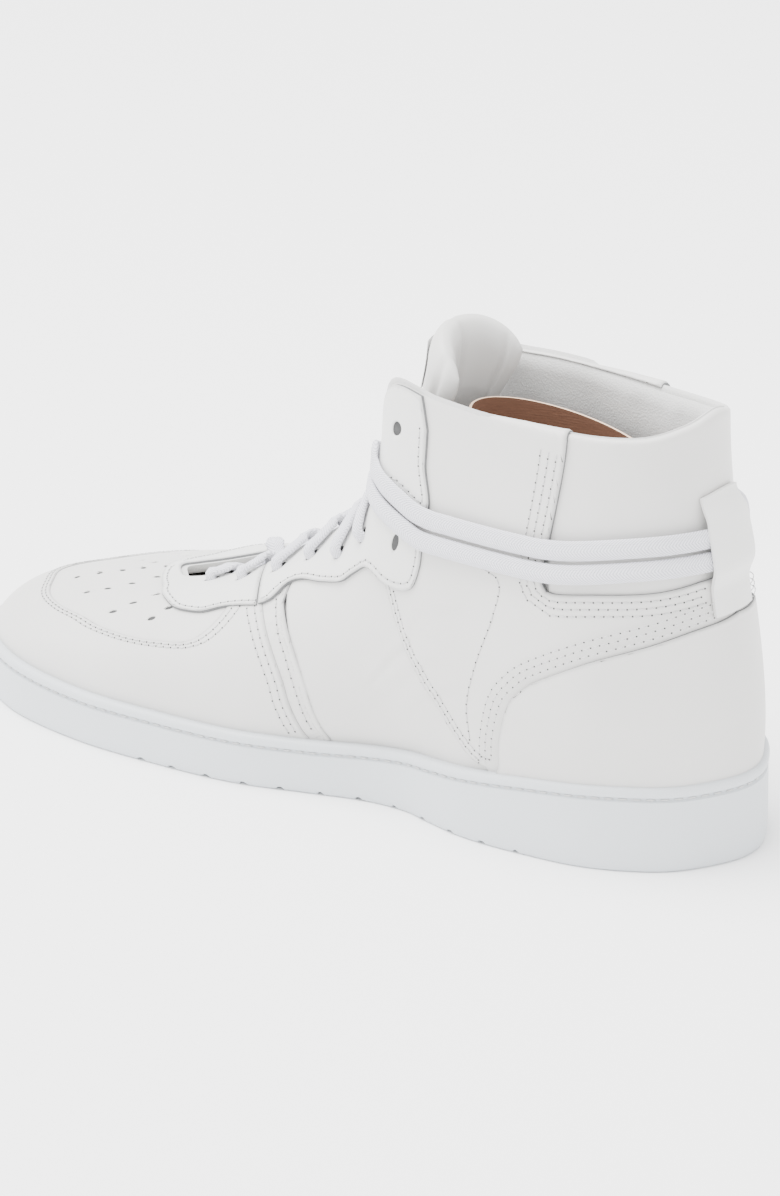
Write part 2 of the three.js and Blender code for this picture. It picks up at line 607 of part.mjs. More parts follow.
function tongue() {
  const alongs = spread(20, 0, TONGUE_HINGE - 0.001);
  add('tongue_lower', tongueSheet(alongs, 0, 2.4), LEATHER_WHITE);
  const upper = spread(4, TONGUE_HINGE + 0.001, 1);
  add('tongue_face', tongueSheet(upper, 0, LEATHER), LEATHER_WHITE);
  add('tongue_foam', tongueSheet(upper, PITCH, PITCH + TONGUE_FOAM), FOAM_GREY);
  add('tongue_lining', tongueSheet(upper, PITCH + TONGUE_FOAM + GAP, 2 * PITCH + TONGUE_FOAM), LINING_WHITE);
  const patch = (depth) => spread(3, 0.3, -0.3).map((across) => spread(2, 0.84, 0.95)
    .map((along) => tonguePoint(across, along, depth)));
  add('tongue_label', sandwich(patch(-GAP - 1.3), patch(-GAP - 0.5), false), LACE_WHITE);
}

// ---- the lace ----
// It starts in the middle as a bar under the first pair of eyelets. Each end crosses the tongue five times,
// crosses the front of the ankle, and goes once round it through the heel loop.
const LACE_ROOM = LACE_THICK / 2 + GAP;
const UNDER = layerOuter(0) - LEATHER - LACE_ROOM;
const OVER = layerOuter(3) + LACE_ROOM + 0.4;
const LACE_LIFT = LACE_THICK + 2.2 * GAP;
const EDGE_REACH = 2;        // how far a strand runs level past the edge it crosses
const onSide = (side, around) => (side < 0 ? around : 1 - around);

const bisect = (before, low, high) => {
  for (let round = 0; round < 24; round += 1) {
    const middle = (low + high) / 2;
    if (before(middle)) low = middle;
    else high = middle;
  }
  return low;
};
const upAtHeight = (around, height) => bisect((up) => surface(around, up).z < height, 0, 1);
const upwards = (around, up) => surface(around, Math.min(1, up + 0.01)).sub(surface(around,
  up - 0.01)).normalize();

// A station is a place on the lace: its middle, the way its width lies, and its width.
function onUpper(side, around, up, distance, width = LACE_WIDTH) {
  const at = onSide(side, around);
  const top = Math.min(1, up);
  const wide = surface(onSide(side, around + 0.004), top).sub(surface(onSide(side, around - 0.004), top));
  const point = lifted(at, top, distance);
  if (up > 1) point.addScaledVector(upwards(at, 1), (up - 1) * EDGE_REACH);
  return { point, wide: wide.normalize(), width };
}

// The tongue point in front of a point, at a clearance from the tongue's face.
function onTongue(point, clearance) {
  const ahead = (along) => point.clone().sub(tongueLine.getPoint(along)).dot(tongueLine.getTangent(along));
  const along = bisect((value) => ahead(value) > 0, 0, 1);
  const width = tongueSize(along, 2) + clearance;
  const lean = tonguePoint(0, along, 0).y;
  const across = Math.asin(THREE.MathUtils.clamp((point.y - lean) / width, -1, 1)) / (Math.PI * 0.48);
  const spot = tonguePoint(across, along, -clearance - foldRoom(along));
  return { point: spot, wide: tongueLine.getTangent(along), width: LACE_WIDTH };
}

// Room in front of the tongue's free top for its fold, so that a lace over it stays clear.
const foldRoom = (along) => Math.tan(THREE.MathUtils.degToRad(TONGUE_FOLD))
  * Math.max(0, (along - TONGUE_HINGE) * tongueLine.getLength() + LACE_WIDTH / 2);

const throughEyelet = (side, index) => {
  const { around, up } = eyeletPlaces[index];
  return [UNDER + 0.3, OVER - 0.3].map((distance) => onUpper(side, around, up, distance, EYELET * 0.7));
};

// A station, moved forward if it is too near the tongue.
function offTongue(station) {
  const clear = onTongue(station.point, LACE_ROOM + 0.1).point;
  const forward = clear.x < station.point.x;
  return forward ? { ...station, point: clear } : station;
}

// From one station to another across the tongue's face. A raised strand lies over another.
function overTongue(start, end, lift, last = 0.8) {
  return spread(6, 0.2, last).map((share) => {
    const raised = lift * Math.min(1, share * 6, (1 + 0.2 - share) * 6);
    return onTongue(start.point.clone().lerp(end.point, share), LACE_ROOM + 0.55 + raised);
  });
}

// Up through one eyelet, over its edge and the tongue, and under the other edge to the next eyelet.
function crossing(index, side, lift) {
  const [here, next] = [eyeletPlaces[index], eyeletPlaces[index + 1]];
  const around = (share) => THREE.MathUtils.lerp(here.around, next.around, share);
  const leave = onUpper(side, around(0.12), 2, OVER);
  const arrive = onUpper(-side, around(0.88), 2, UNDER);
  return [
    ...throughEyelet(side, index),
    onUpper(side, around(0.04), (here.up + 1) / 2, OVER),
    onUpper(side, around(0.07), 1, OVER),
    leave,
    ...overTongue(leave, arrive, lift),
    offTongue(arrive),
    offTongue(onUpper(-side, around(0.95), (next.up + 1) / 2, UNDER)),
  ];
}

function throatHalf(side, lift) {
  const first = eyeletPlaces[0];
  const dive = onUpper(side, first.around - 0.004, (first.up + 1) / 2, UNDER);
  const other = onUpper(-side, first.around - 0.004, (first.up + 1) / 2, UNDER);
  const bar = [0.5, 0.35, 0.2].map((share) => onTongue(other.point.clone().lerp(dive.point, 1 - share),
    LACE_ROOM));
  const crossings = [0, 1, 2, 3, 4].flatMap((index) => crossing(index, index % 2 ? -side : side, lift));
  return [...bar, dive, ...crossings, ...throughEyelet(-side, 5)];
}

// How high the lace lies round the ankle, and how far it stands off the surface.
const wrapHeight = (fromHeel, drop) => place([
  fromHeel, 0, 102 + 5 * (1 - smooth(15, 60, fromHeel)) + 11 * smooth(100, 130, fromHeel)
    - drop * (1 + 0.15 * smooth(95, 118, fromHeel)),
]).z;
const wrapAway = (around) => ramp(Math.abs(around - 0.5), [[0.03, 1.5], [0.1, OVER - 0.8], [0.16, OVER]]);

function roundAnkle(side, drop) {
  const edge = bisect((around) => surface(around, 1).z < wrapHeight(124, drop), 0.18, 0.3);
  const lap = spread(40, edge + 0.006, 1 - edge - 0.006).map((share) => {
    const around = onSide(side, share);
    const up = upAtHeight(around, wrapHeight(fromHeelOf(surface(around, 0.72)), drop));
    return { point: lifted(around, up, wrapAway(around)), wide: upwards(around, up), width: LACE_WIDTH };
  });
  return [
    onUpper(side, edge, 2, OVER), onUpper(side, edge + 0.003, 1, OVER),
    ...lap,
    onUpper(-side, edge + 0.003, 1, OVER), onUpper(-side, edge, 2, OVER),
  ];
}

// From its last eyelet across the front of the ankle, round it, and on to its end on the tongue.
function wrapHalf(side, drop, lift, [across, height, endLift]) {
  const last = eyeletPlaces[5];
  const lap = roundAnkle(-side, drop);
  const leave = onUpper(side, last.around - 0.010, 2, OVER);
  const along = bisect((value) => tongueLine.getPoint(value).z < place([124, 0, height]).z, 0, 1);
  const end = { point: tonguePoint(across, along, -LACE_ROOM - foldRoom(along)) };
  return [
    onUpper(side, last.around - 0.005, (last.up + 1) / 2, OVER),
    onUpper(side, last.around - 0.0075, 1, OVER),
    leave,
    ...overTongue(leave, lap[0], lift),
    ...lap,
    ...overTongue(lap.at(-1), end, endLift, 1),
  ];
}

// The room that the lace may not use in the throat: the layers of the upper on one side, and the tongue.
function throatKeepOut(side) {
  const [from, to] = [onSide(side, 5 / RINGS), onSide(side, 13 / RINGS)].sort((a, b) => a - b);
  const layers = shell({
    inner: layerOuter(0) - LEATHER - GAP, outer: layerOuter(3) + GAP, from, to, ups: [0.7, 0.8, 0.9, 1],
      steps: 8,
  });
  const pegs = eyeletPlaces.map(({ around, up }) => holeAt({ around: onSide(side, around), up },
    EYELET - 2 * GAP));
  return cutAll(layers, pegs);
}

function lacing() {
  const first = [...throatHalf(-1, LACE_LIFT), ...wrapHalf(1, 0, 3 * LACE_LIFT, [-0.5, 117, 0])];
  const second = [...throatHalf(1, 0), ...wrapHalf(-1, 7.4, 2 * LACE_LIFT, [0, 107, 1.5 * LACE_LIFT])];
  const path = [...first.reverse().slice(0, -1), ...second];
  add('lace', cutAll(ribbon(path, LACE_THICK), [throatKeepOut(-1), throatKeepOut(1)]), LACE_WHITE);
}

function insert() {
  const columns = spread(28, 0, 2 * Math.PI).slice(0, 28);
  const grid = (inset) => columns.map((turn) => [0, 0.35, 0.7, 1].map((share) => {
    const fromHeel = 71 - (CARD_LENGTH / 2 - inset) * Math.cos(turn);
    const point = place([fromHeel, -4.5, 0]);
    const foot = soleTop(fromHeel) + GAP;
    const top = place([fromHeel, 0, 125.5 + (fromHeel - 71) * 0.17]).z;
    return point.add(new THREE.Vector3(0, (CARD_WIDTH / 2 - inset) * Math.sin(turn),
      0)).setZ(foot + (top - foot) * share);
  }));
  add('shaping_insert', sandwich(grid(0), grid(CARD), true), CARD_TAN);
}

cupsole();
soleStitching();
insideSole();
linings();
stiffeners();
collarPadding();
toe();
sides();
eyestays();
heelLoop();
tongue();
lacing();
insert();

export default group;
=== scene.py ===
import math

import bmesh
import bpy
import numpy as np
from mathutils import Matrix, Vector


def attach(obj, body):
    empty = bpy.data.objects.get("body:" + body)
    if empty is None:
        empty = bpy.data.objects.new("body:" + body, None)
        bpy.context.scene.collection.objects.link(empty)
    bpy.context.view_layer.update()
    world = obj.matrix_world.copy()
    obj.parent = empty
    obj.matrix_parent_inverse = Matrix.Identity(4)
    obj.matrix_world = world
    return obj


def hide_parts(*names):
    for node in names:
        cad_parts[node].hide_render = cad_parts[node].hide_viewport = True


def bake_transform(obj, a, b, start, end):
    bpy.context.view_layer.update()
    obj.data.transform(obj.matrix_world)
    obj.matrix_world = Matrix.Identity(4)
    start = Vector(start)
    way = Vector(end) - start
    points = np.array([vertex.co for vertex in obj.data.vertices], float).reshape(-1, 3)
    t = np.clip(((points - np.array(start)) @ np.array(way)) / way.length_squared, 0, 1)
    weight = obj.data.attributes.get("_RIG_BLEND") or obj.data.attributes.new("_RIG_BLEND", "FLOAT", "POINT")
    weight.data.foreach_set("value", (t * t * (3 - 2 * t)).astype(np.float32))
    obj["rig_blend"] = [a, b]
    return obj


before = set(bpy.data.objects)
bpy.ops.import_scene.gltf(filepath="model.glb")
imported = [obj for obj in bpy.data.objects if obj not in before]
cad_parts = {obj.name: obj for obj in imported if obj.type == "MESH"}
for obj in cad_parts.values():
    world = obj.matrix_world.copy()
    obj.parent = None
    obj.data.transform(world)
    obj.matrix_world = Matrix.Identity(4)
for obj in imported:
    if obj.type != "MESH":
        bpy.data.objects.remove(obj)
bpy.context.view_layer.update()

# ---- The studio ----
# A white high top stands on a plain pale floor, seen from its outer side and a little above.
# A wide soft light hangs over it, with a weaker one at the front and a bright surround.
MM = 0.001
VIEW_SIDE = math.radians(35.16)
VIEW_HEIGHT = math.radians(21.30)
VIEW_ROLL = math.radians(-0.41)
VIEW_DISTANCE = 2041.4 * MM
VIEW_MIDDLE = Vector((13.11, -5.31, 57.19)) * MM
LENS_IN_FRAMES = 6340.8 / 1196
FILM = 36.0

back = Vector((
    math.sin(VIEW_SIDE) * math.cos(VIEW_HEIGHT),
    -math.cos(VIEW_SIDE) * math.cos(VIEW_HEIGHT),
    math.sin(VIEW_HEIGHT),
))
level_right = Vector((math.cos(VIEW_SIDE), math.sin(VIEW_SIDE), 0.0))
level_up = back.cross(level_right)
right = level_right * math.cos(VIEW_ROLL) + level_up * math.sin(VIEW_ROLL)
up = level_up * math.cos(VIEW_ROLL) - level_right * math.sin(VIEW_ROLL)

lens = bpy.data.cameras.new("studio_camera")
lens.sensor_fit = "VERTICAL"
lens.sensor_height = FILM
lens.lens = LENS_IN_FRAMES * FILM
lens.clip_end = 50.0
camera = bpy.data.objects.new("studio_camera", lens)
bpy.context.collection.objects.link(camera)
camera.matrix_world = (
    Matrix.Translation(VIEW_MIDDLE + back * VIEW_DISTANCE)
    @ Matrix((right, up, back)).transposed().to_4x4()
)
bpy.context.scene.camera = camera


def soft_light(name, place, aim, size, power):
    light = bpy.data.lights.new(name, "AREA")
    light.shape = "DISK"
    light.size = size
    light.energy = power
    lamp = bpy.data.objects.new(name, light)
    bpy.context.collection.objects.link(lamp)
    lamp.location = place
    lamp.rotation_euler = (Vector(aim) - Vector(place)).to_track_quat("-Z", "Y").to_euler()


soft_light("overhead_light", (-0.5, -0.3, 2.2), (0.0, 0.0, 0.05), 1.6, 120.0)
soft_light("front_light", (-2.2, -1.2, 1.1), (0.0, 0.0, 0.06), 1.2, 24.0)

surround = bpy.data.worlds.new("bright_surround")
surround.use_nodes = True
surround.node_tree.nodes["Background"].inputs["Color"].default_value = (1.0, 1.0, 1.0, 1.0)
surround.node_tree.nodes["Background"].inputs["Strength"].default_value = 2.7
bpy.context.scene.world = surround


class Signal:
    """One value on its way through a material. Arithmetic on it adds Math nodes."""

    def __init__(self, recipe, socket):
        self.recipe = recipe
        self.socket = socket

    def _math(self, operation, first, second):
        return self.recipe.node("Math", {"operation": operation}, {0: first, 1: second})

    def __add__(self, other):
        return self._math("ADD", self, other)

    def __radd__(self, other):
        return self._math("ADD", other, self)

    def __sub__(self, other):
        return self._math("SUBTRACT", self, other)

    def __rsub__(self, other):
        return self._math("SUBTRACT", other, self)

    def __mul__(self, other):
        return self._math("MULTIPLY", self, other)

    def __rmul__(self, other):
        return self._math("MULTIPLY", other, self)


class Recipe:
    """One material: a Principled surface and the nodes that feed it."""

    def __init__(self, name, **constants):
        self.material = bpy.data.materials.new(name)
        self.material.use_nodes = True
        self.tree = self.material.node_tree
        self.surface = self.tree.nodes["Principled BSDF"]
        for socket, value in constants.items():
            self.surface.inputs[socket.replace("_", " ")].default_value = value

    def node(self, kind, settings=None, sockets=None, output=0):
        added = self.tree.nodes.new("ShaderNode" + kind)
        for name, value in (settings or {}).items():
            setattr(added, name, value)
        for name, value in (sockets or {}).items():
            self.feed(added.inputs[name], value)
        return Signal(self, added.outputs[output])

    def feed(self, socket, value):
        if isinstance(value, Signal):
            self.tree.links.new(value.socket, socket)
        elif isinstance(value, tuple) and len(value) == 3 and socket.type == "RGBA":
            socket.default_value = (*value, 1.0)
        else:
            socket.default_value = value

    def give(self, **signals):
        for socket, signal in signals.items():
            self.feed(self.surface.inputs[socket.replace("_", " ")], signal)
        return self.material

    def place(self, kind="Object"):
        return self.node("TexCoord", output=kind)

    def noise(self, scale, detail=3.0, where=None, roughness=0.5):
        sockets = {"Vector": where or self.place(), "Scale": scale, "Detail": detail, "Roughness": roughness}
        return self.node("TexNoise", {}, sockets, "Fac")

    def painted(self, name):
        return self.node("Attribute", {"attribute_name": name}, {}, "Fac")

    def between(self, value, low, high):
        sockets = {"Value": value, "From Min": low, "From Max": high}
        return self.node("MapRange", {"interpolation_type": "SMOOTHSTEP"}, sockets)

    def mix(self, share, first, second):
        return self.node("Mix", {"data_type": "RGBA"}, {0: share, 6: first, 7: second}, 2)

    def bump(self, height, depth, strength=1.0):
        return self.node("Bump", {}, {"Height": height, "Distance": depth, "Strength": strength})


def pale_floor():
    recipe = Recipe("pale_floor", Roughness=0.9)
    tint = recipe.mix(recipe.noise(3.0), (0.955, 0.955, 0.955), (0.965, 0.965, 0.965))
    return recipe.give(Base_Color=tint)


floor_mesh = bmesh.new()
bmesh.ops.create_grid(floor_mesh, x_segments=2, y_segments=2, size=6.0)
floor_data = bpy.data.meshes.new("floor")
floor_mesh.to_mesh(floor_data)
floor_mesh.free()
floor_data.materials.append(pale_floor())
floor = bpy.data.objects.new("floor", floor_data)
bpy.context.collection.objects.link(floor)

# ---- The cup sole ----
# One moulded rubber cup: a rounded bead at its top edge, a stitched channel under it, a plain wall and
# a barred tread. It is lasted round the upper, so its outline is the upper's foot line, set outwards.
HEEL_TOP = 28.5
FORE_TOP = 18.0
CHANNEL_DROP = 3.95
TREAD_PITCH = 13.0
TREAD_GAP = 2.2
TREAD_DEPTH = 1.6
RIBS = [
    [[296, 3, 20], [297, 3, 29.5], [266, 2, 42.5], [224, 0, 48]],
    [[288, -21, 19.5], [288.5, -22, 29.5], [258, -13, 43.5], [221, -5, 48]],
    [[265, -38, 19], [267, -42, 34], [238, -26, 45], [214, -10.5, 49]],
    [[232, -46.5, 18.5], [232, -51, 37], [215, -33, 49], [200, -13, 53.5]],
    [[200, -48, 18.5], [201, -54, 38], [190, -35, 55], [184, -14, 59.5]],
    [[170, -46.5, 18], [171, -52, 40], [165, -35, 64], [158.5, -12.5, 75.5]],
    [[145, -40, 18], [146, -47.5, 40], [146, -35, 74], [143.5, -15, 86]],
    [[126, -35, 19], [126, -45, 42], [130, -38, 82], [132, -19, 98]],
    [[110, -34.5, 20], [109, -45, 46], [118, -38, 94], [127, -21.5, 118]],
    [[97, -38, 22], [96, -47.5, 50], [107, -36, 103], [122, -24, 138]],
    [[82, -41.5, 24], [81, -49, 54], [90, -34, 101], [99, -32, 139]],
    [[62, -42, 26], [61, -49, 57], [64, -35, 101], [72, -35, 138]],
    [[38, -39.5, 27.5], [37, -46, 58], [42, -34, 101], [46, -34, 137]],
    [[17, -29.5, 28.5], [16, -34, 58], [24, -27, 101], [26, -28, 138]],
    [[6, -15, 28.5], [4.5, -18, 58], [15, -15, 101], [15.5, -17, 141]],
    [[2.5, -2.5, 28.5], [0.5, -3, 58], [13, -4, 101], [12, -4.5, 144]],
]
INNER_LEAN = [5.0, 6.0, 8.0, 9.0]
COLLAR_FILL = [[0, 1], [5 / 48, 1], [6 / 48, 0.6], [7 / 48, 0]]
ROLL_TURN = math.pi / 0.1


def smooth(low, high, value):
    share = np.clip((np.asarray(value, float) - low) / (high - low), 0.0, 1.0)
    return share * share * (3.0 - 2.0 * share)


def sole_top(from_heel):
    fore = HEEL_TOP + (FORE_TOP - HEEL_TOP) * smooth(20, 150, from_heel)
    return fore + 2.0 * smooth(225, 300, from_heel)


def inner_rib(rib):
    return [
        [from_heel, -across - lean * (1.0 - smooth(60, 200, from_heel)), height]
        for (from_heel, across, height), lean in zip(rib, INNER_LEAN)
    ]


HOOPS = np.array(RIBS + [inner_rib(rib) for rib in RIBS[-2:0:-1]], float)
HOOPS[:, :, 0] = 150.0 - HOOPS[:, :, 0]


def hoop_at(around):
    """The four control points of the rib at each place round the shoe, 0 at the toe and 0.5 at the heel."""
    place = np.mod(np.asarray(around, float), 1.0) * len(HOOPS)
    step = np.floor(place).astype(int)
    share = (place - step)[:, None, None]
    before, start, end, after = [HOOPS[(step + shift) % len(HOOPS)] for shift in (-1, 0, 1, 2)]
    return 0.5 * (
        2 * start
        + (end - before) * share
        + (2 * before - 5 * start + 4 * end - after) * share**2
        + (3 * start - before - 3 * end + after) * share**3
    )


def skin(around, rise):
    """Points of the upper's surface, rise 0 at the sole and 1 at the top edge, in millimetres."""
    around, rise = np.broadcast_arrays(np.atleast_1d(around), np.atleast_1d(rise))
    foot, low, high, top = np.moveaxis(hoop_at(around), 1, 0)
    rise = rise[:, None]
    rest = 1.0 - rise
    return rest**3 * foot + 3 * rest**2 * rise * low + 3 * rest * rise**2 * high + rise**3 * top


def ramp(value, stops):
    return np.interp(value, *zip(*stops))


def roll_middle(around):
    """How deep the middle of the rolled collar lies: deeper where the collar is padded."""
    return -1.4 - 1.65 * ramp(np.abs(np.mod(around, 1.0) - 0.5), COLLAR_FILL)


def unit(vectors):
    return vectors / np.maximum(np.linalg.norm(vectors, axis=1), 1e-9)[:, None]


def rising(around, rise):
    return unit(skin(around, np.minimum(1.0, rise + 0.004)) - skin(around, np.maximum(0.0, rise - 0.004)))


def outward(around, rise):
    along = skin(around + 0.004, rise) - skin(around - 0.004, rise)
    return unit(np.cross(along, rising(around, rise)))


def upper(around, rise, distance):
    """Points at a distance outside the surface.

    Below a rise of 0 they go down into the sole, and above 1 they roll over the top edge.
    """
    around, rise, distance = np.broadcast_arrays(*[np.atleast_1d(np.asarray(v, float)) for v in (around,
        rise, distance)])
    held = np.clip(rise, 0.0, 1.0)
    base = skin(around, held)
    normal = outward(around, held)
    flat_normal = unit(normal * [1.0, 1.0, 0.0])
    points = base + normal * distance[:, None]
    sunk = base + flat_normal * distance[:, None]
    sunk[:, 2] = sole_top(150.0 - sunk[:, 0]) + np.minimum(rise, 0.0) * 100.0
    angle = np.clip(rise - 1.0, 0.0, 0.1) * ROLL_TURN
    middle = roll_middle(around)
    reach = distance - middle
    rolled = (
        base
        + normal * (middle + reach * np.cos(angle))[:, None]
        + rising(around, held) * (reach * np.sin(angle))[:, None]
    )
    points = np.where((rise <= 0.0)[:, None], sunk, points)
    return np.where((rise > 1.0)[:, None], rolled, points)


def piece_from(mesh_maker, name, materials, body, nodes=()):
    """Turns a bmesh in millimetres into a piece in metres, with its finish, body and replaced nodes."""
    data = bpy.data.meshes.new(name)
    mesh_maker.to_mesh(data)
    mesh_maker.free()
    data.transform(Matrix.Scale(MM, 4))
    for material in materials:
        data.materials.append(material)
    piece = bpy.data.objects.new(name, data)
    bpy.context.collection.objects.link(piece)
    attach(piece, body)
    if nodes:
        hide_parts(*nodes)
    return piece


def smooth_faces(maker, sharp_angle=0.65):
    for face in maker.faces:
        face.smooth = True
    for edge in maker.edges:
        edge.smooth = not (len(edge.link_faces) == 2 and edge.calc_face_angle(0.0) > sharp_angle)


def mapped(maker, place):
    """Moves every vertex to the place given for its flat coordinates."""
    maker.verts.ensure_lookup_table()
    flat = np.array([vertex.co for vertex in maker.verts])
    for vertex, point in zip(maker.verts, place(flat)):
        vertex.co = point


def rubber(name, colour, grain):
    recipe = Recipe(name, Roughness=0.5, IOR=1.5)
    height = recipe.noise(900.0, 4.0) * grain + recipe.noise(160.0, 2.0) * 0.35
    shade = recipe.mix(recipe.noise(22.0), colour, tuple(channel * 0.965 for channel in colour))
    gloss = recipe.noise(60.0) * 0.12 + 0.43
    return recipe.give(Base_Color=shade, Roughness=gloss, Normal=recipe.bump(height, 0.00012, 0.5))


RUBBER_WHITE = rubber("moulded_rubber", (0.575, 0.605, 0.63), 0.5)
TREAD_WHITE = rubber("tread_rubber", (0.68, 0.70, 0.715), 1.0)

# Each row is a distance outside the foot line and a height: under the top edge where it is negative.
SOLE_ROWS = [
    (-2.2, -6.2), (-2.1, -2.6), (-1.9, -0.9), (-1.3, -0.3), (-0.2, -0.06), (1.2, 0.0), (2.3, -0.22),
    (2.85, -0.75),
    (3.02, -1.4), (3.02, -2.1), (2.85, -2.75), (2.5, -3.2), (2.0, -3.45), (1.75, -3.8), (1.8, -4.15),
    (2.3, -4.45),
    (2.66, -4.75), (2.72, -5.6), (2.74, -7.5), (2.76, -10.0), (2.72, 4.2), (2.66, 2.6), (2.5, 1.3),
    (2.2, 0.5),
    (1.7, 0.08), (1.0, 0.0), (-3.0, 0.0), (-3.4, 0.3), (-3.6, TREAD_DEPTH), (-8.0, TREAD_DEPTH),
]
SOLE_STEPS = 760
HANGING_ROWS = 20
WALL_ROW = 16
TREAD_ROWS = (23, 27)
ARCH = (60, 215)


def foot_line(around, distance):
    return upper(around, 0.0, distance)


def in_tread_gap(from_heel):
    return np.abs(np.mod(from_heel - 88.0 + TREAD_PITCH / 2, TREAD_PITCH) - TREAD_PITCH / 2) < TREAD_GAP / 2


def sole_wall(flat):
    around = flat[:, 0] / SOLE_STEPS
    row = np.rint(flat[:, 1]).astype(int)
    distance, level = np.array(SOLE_ROWS)[row].T
    points = foot_line(around, distance)
    from_heel = 150.0 - points[:, 0]
    hanging = sole_top(from_heel) + level
    height = np.where(row < HANGING_ROWS, hanging, level)
    squeezed = (row > WALL_ROW) & (row < HANGING_ROWS)
    share = (row - WALL_ROW) / (HANGING_ROWS - WALL_ROW)
    height = np.where(squeezed, (sole_top(from_heel) - 4.75) * (1 - share) + 4.2 * share, height)
    under = (row >= TREAD_ROWS[0]) & (row <= TREAD_ROWS[1])
    notch = in_tread_gap(from_heel) & (from_heel > ARCH[0]) & (from_heel < ARCH[1]) & under
    points[:, 2] = np.where(notch, np.maximum(height, TREAD_DEPTH * 0.75), height)
    return points


cup = bmesh.new()
bmesh.ops.create_grid(cup, x_segments=SOLE_STEPS, y_segments=len(SOLE_ROWS) - 1, size=0.5)
for vertex in cup.verts:
    vertex.co.x = (vertex.co.x + 0.5) * SOLE_STEPS
    vertex.co.y = (vertex.co.y + 0.5) * (len(SOLE_ROWS) - 1)
mapped(cup, sole_wall)
bmesh.ops.remove_doubles(cup, verts=cup.verts, dist=0.0005)
rims = [edge for edge in cup.edges if edge.is_boundary]
bmesh.ops.triangle_fill(cup, edges=[edge for edge in rims if edge.verts[0].co.z < 5.0], use_beauty=True)
bmesh.ops.triangle_fill(cup, edges=[edge for edge in rims if edge.verts[0].co.z >= 5.0], use_beauty=True)
bmesh.ops.recalc_face_normals(cup, faces=cup.faces)
smooth_faces(cup)
piece_from(cup, "cup_sole", [RUBBER_WHITE], "shoe", ["cupsole"])

sole_ring = foot_line(np.linspace(0, 1, 721), -4.4)


def half_widths(from_heel):
    """Where the tread ends on the outer and the inner side, at a place along the sole."""
    x = 150.0 - from_heel
    crossings = []
    for start, end in zip(sole_ring[:-1], sole_ring[1:]):
        if (start[0] - x) * (end[0] - x) < 0:
            share = (x - start[0]) / (end[0] - start[0])
            crossings.append(start[1] + share * (end[1] - start[1]))
    return (min(crossings), max(crossings)) if len(crossings) >= 2 else None


tread = bmesh.new()
for middle in np.arange(88.0 - 6 * TREAD_PITCH + 6.5, 290.0, TREAD_PITCH):
    half = (TREAD_PITCH - TREAD_GAP) / 2
    sides = [half_widths(middle + shift) for shift in (-half, half)]
    if None in sides:
        continue
    low, high = max(side[0] for side in sides), min(side[1] for side in sides)
    bar = bmesh.ops.create_cube(tread, size=1.0)["verts"]
    bmesh.ops.scale(tread, verts=bar, vec=(2 * half, high - low, TREAD_DEPTH))
    bmesh.ops.translate(tread, verts=bar, vec=(150.0 - middle, (low + high) / 2, TREAD_DEPTH / 2 + 0.02))
bmesh.ops.subdivide_edges(tread, edges=[edge for edge in tread.edges if edge.calc_length() > 20], cuts=5)
bmesh.ops.bevel(
    tread, geom=tread.edges, offset=0.35, segments=2, affect="EDGES", profile=0.5, material=-1,
    clamp_overlap=True,
)
smooth_faces(tread)
piece_from(tread, "tread_bars", [TREAD_WHITE], "shoe")

# ---- The leather of the upper ----
# Full-grain white leather cut into flat panels, lapped one over the next and sewn down. Each panel is
# drawn flat on the unrolled upper, then laid on the foot shape at the height of its own layer.
LAYER_RISE = 1.3
LAYER_SINK = 0.1
LEATHER = 1.0
FLAT = Vector((520.0, 100.0))
WEAVE = 2.4
EDGE_ROUND = 0.45
SUNK = 3.0
LOW_LAYER = 1.6
TRIM_LAYER = 2.75
MUDGUARD_EDGE = [[170, 75], [167, 58], [158, 47], [153, 38], [150, 30], [146, 20], [144, 5]]
STRIP_EDGE = [[162, 75], [160, 62], [155, 53], [150, 45], [146, 35], [142, 24], [138, 5]]
QUARTER_SEAM = [[119, 84], [117, 77], [109, 60], [101, 49], [92, 40], [80, 27], [70, 5]]
COUNTER_EDGE = [[69, 5], [69, 27], [68, 37], [65, 49], [61, 55], [54, 60], [34, 70], [14, 78], [3, 81]]
COLLAR_WINDOW = [
    [50, 137], [51, 128], [54, 108], [56, 94], [55, 89.5], [51, 88], [36, 90], [15, 92.5], [11.6, 93],
]
TOE_WINDOW = [
    [277, 0], [272, -9], [264, -21], [252, -30], [239, -36], [228, -40], [214, -43], [201, -43.5],
    [190, -43], [183, -38], [180, -28],
]
EYESTAY_TIP = [
    [229, 0], [227.5, -6], [223, -13], [218, -19.5], [214, -25], [209, -29.5], [203, -33],
    [197, -34.5], [190, -35], [182, -34], [168.6, -34.5],
]
EYESTAY_REAR = [
    [168, 57.5], [164, 60], [160, 65], [155, 67.5], [146, 69], [137, 71.5], [132, 75.5], [127, 79],
    [123, 79], [117, 77], [110, 76], [105, 78.5], [102.5, 84], [102, 90], [103, 96], [112, 98], [124, 99.5],
]
FACING_EDGE = [[124, 104], [103, 104], [103.5, 118], [103.5, 129], [103, 141]]
REINFORCEMENT = [[85, 92], [77, 90.5], [71, 87], [73, 75], [78, 60], [81, 46], [80, 34]]
EYELETS = [
    [199, -17.5, 54], [184, -20.5, 59], [168, -22, 65.5], [155, -22, 73], [141, -26.5, 78.5],
    [130, -28.5, 87.5], [113, -35, 91], [117, -28, 126],
]
VENTS = [
    [262, -9], [254, -7], [246, -5], [239, -2.5], [231, 0], [248, -22], [241, -19.5], [234, -15.5],
    [228, -9], [228, -34], [223, -29.5], [217, -24.5], [210, -37], [206, -32.5],
]

chart_around, chart_rise = [axis.ravel() for axis in np.meshgrid(np.linspace(0, 0.5, 1001),
    np.linspace(0, 1, 201))]
chart = skin(chart_around, chart_rise)
chart_from_heel = 150.0 - chart[:, 0]


